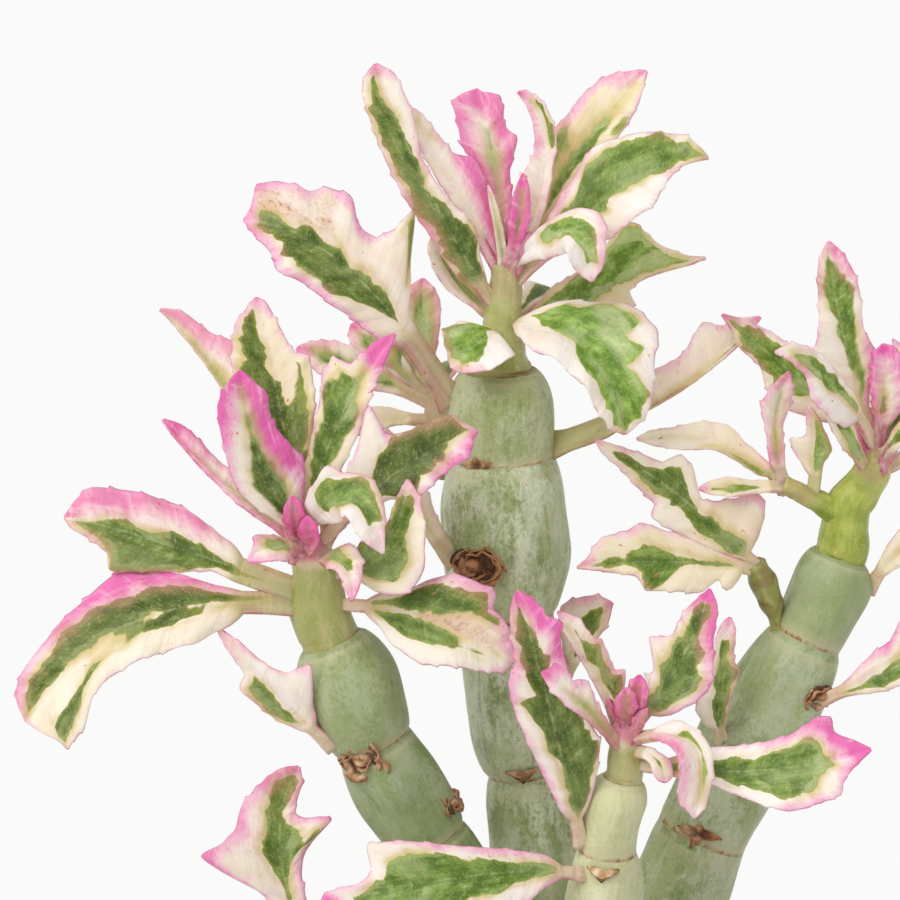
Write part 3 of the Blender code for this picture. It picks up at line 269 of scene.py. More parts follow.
CROWN_CENTRE = (
    leaf((-11.2, 2, 214), (-23.6, -3, 235.8), (-32.1, -2, 256.4), (0.15, -1, 0.25), 7,
         ((5, 3), (25, 3.5), (45, 4.5), (65, 4.5), (85, 4), (95, 2)),
         ((5, 2), (17, 4), (40, 2), (55, 1.5), (75, 3), (90, 2.5))),
    leaf((-10.8, 2, 221), (-19.2, 0.5, 235.5), (-27.9, 0, 249.2), (0.3, -1, 0.3), 2,
         ((10, 1.9), (45, 2), (80, 1.5)), ((15, 3.5), (30, 5), (45, 5.5), (60, 3), (75, 2.5), (90, 2)),
         girth=1.7),
    leaf((-10.7, 2, 221), (-12.7, 4, 239.2), (-15.7, 6, 251.6), (0.1, -1, 0.3), 3,
         ((10, 1.8), (45, 2), (60, 5), (85, 5), (95, 2.5)),
         ((15, 1.9), (45, 2.5), (58, 4.5), (70, 3), (85, 3.5), (95, 1)), girth=1.7),
    leaf((-10.7, 2, 220), (-4.3, 1, 239.5), (-8.8, 1, 251.5), (-0.4, -1, 0.2), 3,
         ((10, 2.4), (40, 3.9), (60, 2), (85, 0.9)), ((20, 2), (50, 2), (65, 3), (80, 3), (95, 1.5)), 30,
         1.7),
    leaf((-10.7, 2, 219), (1.5, 5, 240.6), (12.5, 7, 254.5), (-0.3, -1, 0.4), 7,
         ((20, 1.5), (35, 7), (45, 6), (75, 5), (93, 1.8)),
         ((10, 1.5), (35, 2.5), (60, 4.3), (80, 3.4), (95, 1.1))),
    leaf((-10.8, 2, 218), (7.6, -2, 235.7), (22.4, 0, 240.8), (-0.1, -1, 0.5), 6,
         ((5, 2.5), (20, 4), (30, 5.5), (45, 8), (65, 6.5), (85, 4), (95, 1.5)),
         ((10, 2), (20, 4.5), (30, 6.5), (55, 6.2), (67, 4), (85, 1.2))),
    leaf((-10.4, 1, 222), (-0.4, -7.5, 229.8), (3, -12, 222), (0.2, -1, 0.6), 3,
         ((20, 1.8), (40, 2.5), (57, 4.5), (67, 3.3), (85, 2)), ((30, 4.8), (55, 5.3), (80, 3.6))),
    leaf((-11.3, 2.4, 211), (8.7, 13, 218.5), (23.3, 18, 221.9), (0, -0.9, 0.6), 6,
         ((10, 3.5), (35, 5), (55, 9.2), (66, 6.4), (76, 3.5), (90, 1)),
         ((10, 2), (22, 3.5), (30, 5.5), (42, 5.5), (50, 2.5), (66, 1), (85, 1))),
    leaf((-11.2, 2.2, 213), (3.2, -10, 210), (8.5, -14, 197.1), (0.5, -1, 0.7), 3,
         ((5, 4.5), (20, 8), (45, 11), (60, 7.5), (75, 5.5), (87, 3.5)),
         ((10, 6.5), (30, 8), (57, 7.5), (85, 4.5))),
    leaf((-11.3, 2.4, 212), (-15.9, -5, 210.2), (-19.7, -8, 207.1), (-0.2, -1, 0.5), 3,
         ((10, 7), (35, 6.5), (80, 3)), ((10, 5), (45, 5.5), (70, 3))),
    leaf((-11.2, 2.2, 213), (-18.6, 5, 219.1), (-23, 7, 226.7), (0.6, -0.8, 0.4), 4,
         ((20, 2.4), (50, 3.2), (80, 2.2)), ((20, 2.4), (50, 3.2), (80, 2.2))),
    leaf((-10.9, 2, 217), (-7, 15, 228), (-5, 27, 229), (0, -0.3, 1), 6, BROAD, BROAD_LOW),
    leaf((-11.4, 2.5, 210), (-4, 15, 216), (2, 27, 212), (0.1, 0.2, 1), 7, BROAD_LOW, BROAD),
    leaf((-10.9, 1.5, 221), (-12, -1.5, 229), (-13.7, -1.5, 236.4), (0.1, -1, 0.2), 2,
         ((30, 0.9), (70, 0.8)), ((30, 0.9), (70, 0.8)), 20),
    leaf((-10.8, 1, 221), (-8.8, -2, 229.5), (-8, -2.5, 238.4), (-0.1, -1, 0.2), 2, SLIM, SLIM, 20, 1.5),
) + heart_leaves((-10.6, 2, 223), 5, 9)

CROWN_LEFT = (
    leaf((-42, -13, 169.6), (-68, -14, 179.2), (-83, -14, 183.3), (0.1, -1, 0.5), 13.5,
         ((10, 1.9), (27, 4.5), (43, 6.5), (53, 7.5), (63, 4.7), (75, 3.2), (90, 2)),
         ((4, 4), (20, 6), (32, 7), (60, 6.7), (80, 5.5), (90, 3.3), (96, 1.5)), girth=2.2),
    leaf((-41.4, -12.8, 167.8), (-70.4, -20, 167.4), (-88.7, -24, 151.4), (-0.2, -1, 0.6), 13,
         ((4, 4.7), (12, 7.5), (35, 7.5), (50, 7.4), (60, 8.3), (68, 11.2), (80, 11.2), (88, 7.2),
          (95, 3.6)), ((10, 4), (23, 7.5), (30, 8.5), (40, 7.7), (55, 6.3), (75, 5.2), (88, 4.2)),
         girth=2),
    leaf((-43.6, -14.1, 178.5), (-57.7, -12, 189.4), (-67, -10, 198.8), (0.8, -0.8, 0.5), 4,
         ((25, 2), (55, 1.5), (80, 0.8)), ((4, 2.2), (20, 3.5), (47, 2.5), (83, 2.5))),
    leaf((-44.2, -14.5, 180), (-51.1, -19, 194.5), (-53.7, -21, 208.6), (0.2, -1, 0.2), 3,
         ((7, 2.5), (18, 4.5), (30, 5.5), (55, 5), (75, 4.5), (93, 1.8)),
         ((4, 3.8), (13, 6), (20, 7), (37, 5.5), (60, 4), (75, 4), (85, 2.8), (94, 1.3))),
    leaf((-44.2, -14.5, 180), (-47.8, -11, 201.2), (-51.7, -9, 218.8), (-0.1, -1, 0.2), 6,
         ((10, 3.5), (37, 6), (58, 6.5), (82, 4.5), (94, 1.7)),
         ((5, 3), (20, 4.3), (36, 6.2), (56, 6.7), (64, 4.3), (80, 2.8), (95, 1.5))),
    leaf((-44, -14.4, 179.5), (-56.8, -2, 202.3), (-68.2, 3, 215.2), (0.1, -1, 0.3), 5,
         ((20, 1.5), (50, 0.8), (85, 0.8)), ((30, 3.7), (50, 5.4), (60, 6), (76, 3.2), (90, 2.2))),
    leaf((-43.6, -14.1, 178.5), (-38.7, -14, 197.8), (-29, -11, 213.1), (-0.2, -1, 0.2), 7,
         ((10, 2.5), (30, 3.3), (46, 4.3), (54, 6), (63, 5.7), (70, 2.8), (90, 1.5)),
         ((7, 2.5), (20, 3.7), (37, 4.2), (62, 3), (85, 1.6))),
    leaf((-43, -13.8, 177), (-29, -17, 191), (-15.6, -17, 198.1), (-0.1, -1, 0.3), 9,
         ((5, 4), (20, 7), (32, 11.5), (40, 6), (56, 4.5), (80, 4), (90, 2)),
         ((10, 1.7), (24, 3), (32, 6), (60, 4.6), (80, 4), (93, 1.3))),
    leaf((-44.2, -14.5, 180), (-36.2, -24, 188.2), (-30.7, -28, 180.2), (0.3, -1, 0.5), 5,
         ((4, 3.2), (20, 4.5), (27, 5.8), (35, 4), (45, 4.3), (62, 3), (82, 1.3)),
         ((10, 3), (40, 4), (73, 3.5))),
    leaf((-41.6, -13, 173), (-31, -19, 179.6), (-26.8, -20, 190.6), (-0.3, -1, 0.2), 7,
         ((10, 3), (35, 2.5), (50, 1.5), (70, 1.7), (90, 1)),
         ((6, 7), (17, 8.8), (34, 8.2), (42, 7), (63, 4.3), (84, 2.2))),
    leaf((-40.7, -12.6, 168.5), (-23.4, -21, 168), (-9.5, -23, 161.6), (0.1, -1, 0.4), 8,
         ((7, 3), (17, 3.5), (24, 6), (36, 8), (58, 7.7), (65, 5.2), (75, 4.3), (88, 2.2)),
         ((4, 2.5), (12, 6), (29, 8.2), (50, 7), (67, 5.7), (92, 3))),
    leaf((-43.4, -14, 178), (-48.7, -22, 180), (-52.4, -26, 178.4), (-0.2, -1, 0.6), 5,
         ((10, 2.8), (35, 4.3), (75, 2.5)), ((25, 2.2), (48, 2.8), (70, 1.4))),
    leaf((-44.4, -14.8, 179), (-45.2, -18.4, 183.2), (-45.4, -19.3, 187.8), (0.1, -1, 0.1), 1.5, SLIM,
         SLIM),
    leaf((-43.6, -14.2, 177), (-42.8, -18.6, 180.4), (-43.2, -20.2, 184.6), (-0.2, -1, 0.3), 2, SLIM,
         SLIM),
    leaf((-42.6, -13.6, 176), (-37, -22, 176.8), (-35.8, -27, 172.2), (0.2, -1, 0.6), 4,
         ((10, 2.8), (20, 3.6), (35, 3.2), (60, 2)), ((20, 2.3), (73, 1.7))),
    leaf((-43, -13.8, 177), (-49, 0, 188), (-52, 11, 190), (0, -0.3, 1), 6, BROAD, BROAD_LOW),
    leaf((-41.9, -13.2, 174), (-38, -1, 182), (-35, 6, 180.5), (0.2, -0.2, 1), 7, BROAD_LOW, NARROW),
) + heart_leaves((-44.5, -14.8, 181), 5, 6.5)

CROWN_RIGHT = (
    leaf((51.2, 0.2, 192), (36.6, 4, 204.6), (25.4, 3, 214.3), (0.2, -1, 0.3), 8,
         ((6, 3.8), (22, 6), (40, 4.7), (56, 2.8), (70, 2.8), (82, 1.7)),
         ((10, 3), (38, 3.5), (60, 3.2), (80, 2), (92, 1))),
    leaf((51.2, 0.2, 192), (42, -10, 205.4), (32.8, -15, 210.8), (0.2, -1, 0.6), 9,
         ((4, 4.5), (20, 6.5), (43, 6.3), (63, 3)), ((10, 1.5), (44, 2), (65, 2.7), (84, 2))),
    leaf((51.2, 0.2, 192), (44.9, -3.5, 211.4), (42.2, -4, 227.4), (0.1, -1, 0.2), 8,
         ((5, 2.5), (14, 5), (22, 9.3), (36, 5.2), (55, 3.4), (80, 2.5), (93, 1.3)),
         ((5, 1.8), (19, 4.8), (40, 3.6), (58, 4.2), (73, 3.7), (90, 2))),
    leaf((51.4, 0, 192.5), (51.6, -3, 201), (51.2, -6, 210.6), (-0.1, -1, 0.2), 4,
         ((10, 1.5), (38, 2), (67, 2.1), (83, 1.9)), ((6, 2.6), (26, 4), (63, 3.5), (86, 2.4))),
    leaf((50.2, 1, 187.5), (45.4, -6, 195.4), (42.4, -9.5, 200.8), (0.3, -1, 0.2), 5,
         ((10, 1.3), (40, 2), (75, 1.9), (93, 1.1)), ((16, 1.2), (40, 2), (67, 2.3))),
    leaf((51, 0.5, 190.5), (56, 1, 200.4), (60.7, 3, 208.5), (-0.2, -1, 0.3), 5, BROAD, NARROW),
    leaf((50.8, 0.6, 189.5), (55.6, -6, 195.4), (61.6, -10, 197.6), (-0.1, -1, 0.6), 5, NARROW, SLIM),
    leaf((50.4, 1, 187.8), (57.6, 4, 190.5), (66, 7, 196), (-0.2, -1, 0.5), 5, BROAD, NARROW),
    leaf((50.6, 0.8, 188.8), (53, 12, 196), (56, 22, 197.5), (0, -0.3, 1), 6, BROAD, BROAD_LOW),
    leaf((35.6, -0.9, 186.3), (33.8, -2.4, 197.4), (36.1, -3.5, 205.6), (0.4, -1, 0.2), 3,
         ((5, 1.8), (32, 1.8), (57, 3), (74, 2.2), (90, 1.1)),
         ((5, 1.3), (37, 1.6), (62, 2.4), (85, 1.5))),
    leaf((40.4, 0.3, 183.8), (41, -1.2, 193), (39.4, -2, 199.7), (-0.1, -1, 0.1), 4,
         ((10, 3.5), (30, 4.7), (53, 1.8), (80, 1.1)), ((15, 1.2), (27, 2.6), (58, 1.5), (86, 0.8))),
    leaf((35.6, -0.9, 186.3), (24.6, -2, 193.9), (11, -4, 194.6), (0, -1, 0.5), 3,
         ((5, 2.3), (40, 2.1), (63, 3), (84, 2)),
         ((5, 1), (23, 1.5), (34, 3), (53, 2.4), (70, 1.3), (88, 1))),
    leaf((35.8, -0.8, 186.1), (28, -5, 186.6), (21.3, -6, 186.6), (0, -1, 0.6), 3, SLIM, SLIM),
) + heart_leaves((51.2, 0.2, 192), 4, 7)

CROWN_FRONT = (
    leaf((8.2, -27.1, 147), (1.5, -35, 156.6), (-5.3, -38, 163), (0.3, -1, 0.5), 5,
         ((10, 1.3), (37, 1.7), (60, 2.4), (80, 2)),
         ((20, 1.3), (40, 2.1), (53, 3.4), (69, 1.8), (82, 2.6))),
    leaf((8.4, -27.2, 149), (4, -25.6, 158.7), (-2.5, -24.5, 169.8), (0.1, -1, 0.2), 3,
         ((10, 1), (40, 1), (75, 1.2)),
         ((14, 3), (23, 4.7), (32, 3), (45, 3.6), (55, 3.4), (65, 2.5), (80, 2.4))),
    leaf((8.5, -27.4, 151), (8.2, -30.6, 154.6), (8.4, -31.4, 158.8), (0.1, -1, 0.2), 1.5, SLIM, SLIM),
    leaf((8.6, -27.5, 151.5), (9.8, -29.6, 156), (10.4, -30.2, 160.6), (-0.2, -1, 0.1), 1.5, SLIM, SLIM),
    leaf((8.5, -27.3, 150), (17.1, -26.5, 162), (21.7, -26.5, 173.9), (-0.2, -1, 0.2), 5,
         ((10, 2.4), (20, 3), (30, 6.5), (40, 4.8), (51, 3.2), (70, 3), (92, 1.1)),
         ((5, 4.3), (15, 5.9), (25, 6.4), (38, 5.5), (60, 3.4), (86, 2.1))),
    leaf((8.4, -27.2, 149), (18.2, -37, 150.9), (18.7, -41, 140.1), (0.4, -0.8, 0.7), 6,
         ((8, 2.8), (25, 2.8), (50, 2.4), (68, 2), (85, 1.5)), ((10, 2.4), (30, 4), (50, 5), (75, 4))),
    leaf((8.1, -27.1, 145.5), (28.9, -33, 145.5), (47.1, -35.5, 149.8), (-0.1, -1, 0.6), 6,
         ((10, 3.5), (22, 4.1), (44, 4.7), (57, 6), (65, 7.5), (73, 7), (78, 4.5), (88, 2.6), (94, 1.5)),
         ((8, 1.6), (20, 2.2), (38, 5.8), (49, 7.5), (64, 7), (73, 6.3), (78, 4.2), (86, 2.4))),
    leaf((8.2, -27.1, 147), (12.4, -30.5, 147.4), (14.6, -32.5, 143.6), (0.2, -1, 0.4), 4, SLIM, SLIM),
    leaf((8.4, -27.2, 149), (14, -18, 154), (19, -10, 153), (-0.1, -0.3, 1), 5, BROAD, NARROW),
) + heart_leaves((8.7, -27.6, 153), 4, 6)

CROWN_LOW_LEFT = (
    leaf((-42, -17.9, 107.8), (-48, -18, 128), (-44.9, -16, 141.8), (0.1, -1, 0.1), 8,
         ((5, 1.6), (18, 4.5), (30, 13), (40, 9.5), (50, 7.2), (60, 6.7), (73, 5), (88, 2.8)),
         ((5, 2.6), (24, 3), (36, 4.2), (45, 9.2), (54, 7), (60, 4), (67, 2.4), (88, 2))),
    leaf((-41.5, -17.8, 107), (-54, -20, 112), (-66, -23, 109.5), (0, -0.8, 1), 6, BROAD, BROAD_LOW),
    leaf((-41.5, -17.8, 107), (-46, -28, 113), (-52, -38, 111), (-0.1, -0.8, 1), 6, BROAD_LOW, BROAD),
    leaf((-40.8, -17.6, 106), (-37.5, -28, 109), (-34, -38, 105), (0.2, -0.8, 1), 6, NARROW, BROAD),
    leaf((-41, -17.7, 106.5), (-49, -9, 111), (-55, 0, 108), (0, 0.2, 1), 6, BROAD, NARROW),
) + heart_leaves((-42.2, -18, 108), 3, 5)

CROWN_BRANCH = (
    leaf((-22.2, 16.4, 196.6), (-36, 19, 202.6), (-46.3, 21, 205.9), (0.1, -1, 0.4), 6, NARROW, NARROW),
    leaf((-22.4, 17, 197.2), (-31, 22, 204), (-36.9, 26, 209.5), (0.3, -1, 0.4), 5, NARROW, NARROW),
    leaf((-21.4, 14.4, 194.4), (-30.5, 13, 194.7), (-37.8, 11, 192.4), (0, -0.9, 0.8), 5, SLIM, NARROW),
    leaf((-22.6, 17.5, 198), (-27.2, 21, 202.5), (-29, 22, 207.8), (0.3, -1, 0.2), 2, NARROW, NARROW),
    leaf((-22.4, 17, 197.5), (-24.6, 22, 209), (-24.6, 25, 217.5), (0, -1, 0.2), 6, NARROW, NARROW),
    leaf((-22.2, 16.4, 196.6), (-22, 27, 201), (-24, 36, 199), (0, -0.2, 1), 5, BROAD, BROAD_LOW),
)

STALK_RIGHT_LEAVES = (
    leaf((31.4, -2.6, 172.4), (19.4, -3.5, 183.8), (4.2, -4, 194.4), (0.1, -1, 0.2), 3,
         ((8, 3.5), (20, 5), (42, 6), (50, 3.7), (65, 3), (80, 2), (92, 1.4)),
         ((4, 9), (14, 6), (34, 2), (42, 5), (50, 5.8), (60, 3), (75, 2), (90, 0.9))),
    leaf((31.4, -2.6, 172.2), (16.4, -7, 174.4), (1.1, -9, 173.9), (0, -1, 0.4), 3,
         ((4, 4.5), (10, 2.8), (18, 5.4), (50, 5.1), (62, 2.5), (80, 1.4)),
         ((6, 1.6), (14, 2.5), (38, 5.3), (50, 6.5), (60, 5.3), (75, 4.6), (82, 3.3), (92, 1.3))),
)

# Side leaves: the stem each one grows from, the height and direction of its root there, and its shape.
SIDE_LEAVES = {
    "leaf_left_lobed": ("stem_centre", 201.2, 195, leaf(
        (0, 0, 0), (-37.2, -4, 223.2), (-53.9, -2, 230.8), (0.2, -1, 0.35), 12,
        ((5, 5), (20, 6), (30, 7.2), (45, 7.2), (58, 8.2), (70, 5.5), (85, 3.3)),
        ((6, 2.2), (15, 8), (22, 14.5), (28, 10), (35, 7), (44, 6.5), (50, 9.5), (60, 9), (68, 7),
         (80, 7), (88, 5.8), (95, 1.8)), girth=2.1)),
    "leaf_centre_right": ("stem_centre", 192, RIGHT, leaf(
        (0, 0, 0), (16.6, 2, 201.2), (32.1, 9, 213.1), (-0.1, -1, 0.5), 9,
        ((4, 4.2), (20, 5.3), (45, 4.2), (62, 6.5), (75, 3.7), (88, 2.4)),
        ((20, 0.8), (50, 0.8), (80, 0.8)), girth=2)),
    "leaf_centre_left": ("stem_centre", 175, 216, leaf(
        (0, 0, 0), (-25, -1.5, 182.5), (-30.6, -2, 196), (0.4, -1, 0.2), 3, NARROW,
        ((10, 1.8), (35, 2.4), (60, 2.4), (85, 1.4)), girth=1.7)),
    "leaf_centre_back": ("stem_centre", 149, 20, leaf(
        (0, 0, 0), (3.2, 9.8, 157.6), (7.7, 11, 163.6), (-0.2, -1, 0.3), 4,
        ((10, 4.5), (30, 6.5), (60, 4.8), (85, 2.5)), ((20, 1.6), (60, 2)))),
    "leaf_left_side": ("stem_left", 148.6, 215, leaf(
        (0, 0, 0), (-49.6, -19, 156.2), (-58, -19, 166), (-0.15, -1, 0.05), 4,
        ((5, 2), (17, 3.2), (48, 3.8), (60, 1.5), (80, 1.1)),
        ((5, 3), (19, 8.2), (34, 4.2), (56, 2.2), (76, 1.7)))),
    "leaf_right_outer": ("stem_right", 152.6, 320, leaf(
        (0, 0, 0), (52, -4, 154.6), (60.5, -5, 159.5), (0, -1, 0.4), 4, BROAD, NARROW)),
    "leaf_right_pale": ("stem_right", 170.4, RIGHT, leaf(
        (0, 0, 0), (57.2, 0, 176.2), (67, 0, 181), (0, -1, 0.3), 3, NARROW, NARROW)),
    "leaf_right_inner": ("stem_right", 140.6, 225, leaf(
        (0, 0, 0), (24.6, -8, 153.6), (26.4, -8, 165.2), (0.1, -1, 0.1), 3,
        ((5, 3), (17, 4), (50, 2), (75, 1.8), (87, 1.4)),
        ((5, 1.4), (32, 2.7), (46, 3.5), (60, 2.1), (87, 1.5)))),
    "leaf_front_tall": ("stem_front", 132.6, 205, leaf(
        (0, 0, 0), (-3.5, -32, 153.4), (-9.3, -33, 175), (0.1, -1, 0.1), 4,
        ((4, 2.4), (16, 3.6), (30, 4.8), (47, 5.8), (57, 5.7), (68, 3.6), (83, 2.8), (93, 1.7)),
        ((6, 3.8), (15, 5.7), (23, 6.7), (35, 5.5), (59, 4.5), (70, 4.5), (75, 5.7), (83, 3.4),
         (92, 2.3)))),
    "leaf_front_long": ("stem_front", 127.6, 225, leaf(
        (0, 0, 0), (-16.8, -37.5, 129.4), (-41, -41, 125.1), (0.1, -1, 0.5), 4,
        ((5, 2.7), (10, 5.5), (25, 7.3), (50, 7), (64, 8), (75, 5), (90, 2.3)),
        ((5, 2.7), (30, 4.5), (56, 7.5), (65, 8), (72, 3.5), (80, 2.2), (92, 2.2)))),
}

CROWNS = {
    "crown_centre": CROWN_CENTRE,
    "crown_left": CROWN_LEFT,
    "crown_right": CROWN_RIGHT,
    "crown_front": CROWN_FRONT,
    "crown_low_left": CROWN_LOW_LEFT,
}
EXTRA_NECKS = {"crown_right": [TWIG_RIGHT]}

NOWHERE = (200, 200, 0, 0)


def hundredths(values):
    return tuple(value / 100 for value in values)


def rim_of(depth):
    """A margin's depth of pink along the blade, from a number or from (percent, depth) points."""
    if isinstance(depth, tuple):
        return tuple((share / 100, deep) for share, deep in depth)
    return (0, depth * 0.5), (0.5, depth), (1, depth * 1.3)


def paint(*bands, left=0.3, right=0.3, tip=95, pink=60, bright=45, grey=30,
          warm=30, blush=15, stipple=NOWHERE, heart=0, soft=0, stalk=(40, 10),
          frill=100):
    """How a leaf is coloured, in percent but for the depths of pink, which are in millimetres.

    heart is how deep a magenta its foot has, soft how blurred the green's edge is, stalk how olive and how
    brown its stalk is, and frill how much its teeth stand out. The brightness of its greens is partly their
    own tone and partly painted light that lifts leaves lying in shade.
    """
    bands = tuple(tuple(hundredths(knot) for knot in band) for band in bands)
    tones = hundredths((tip, pink, bright, grey, warm, blush))
    return Paint(bands, rim_of(left), rim_of(right), *tones, hundredths(stipple), heart / 100, soft / 100,
                 hundredths(stalk), frill / 100)


MIDDLE = ((0, -50, 50), (30, -60, 60), (60, -55, 60), (85, -40, 40))
THIN = ((0, -30, 30), (40, -30, 35), (80, -20, 20))
BACK_LEAF = paint(MIDDLE, left=1, right=1, tip=85)
BUD = paint(THIN, left=2, right=2, tip=0, pink=100, blush=90, heart=90, soft=80, frill=160)

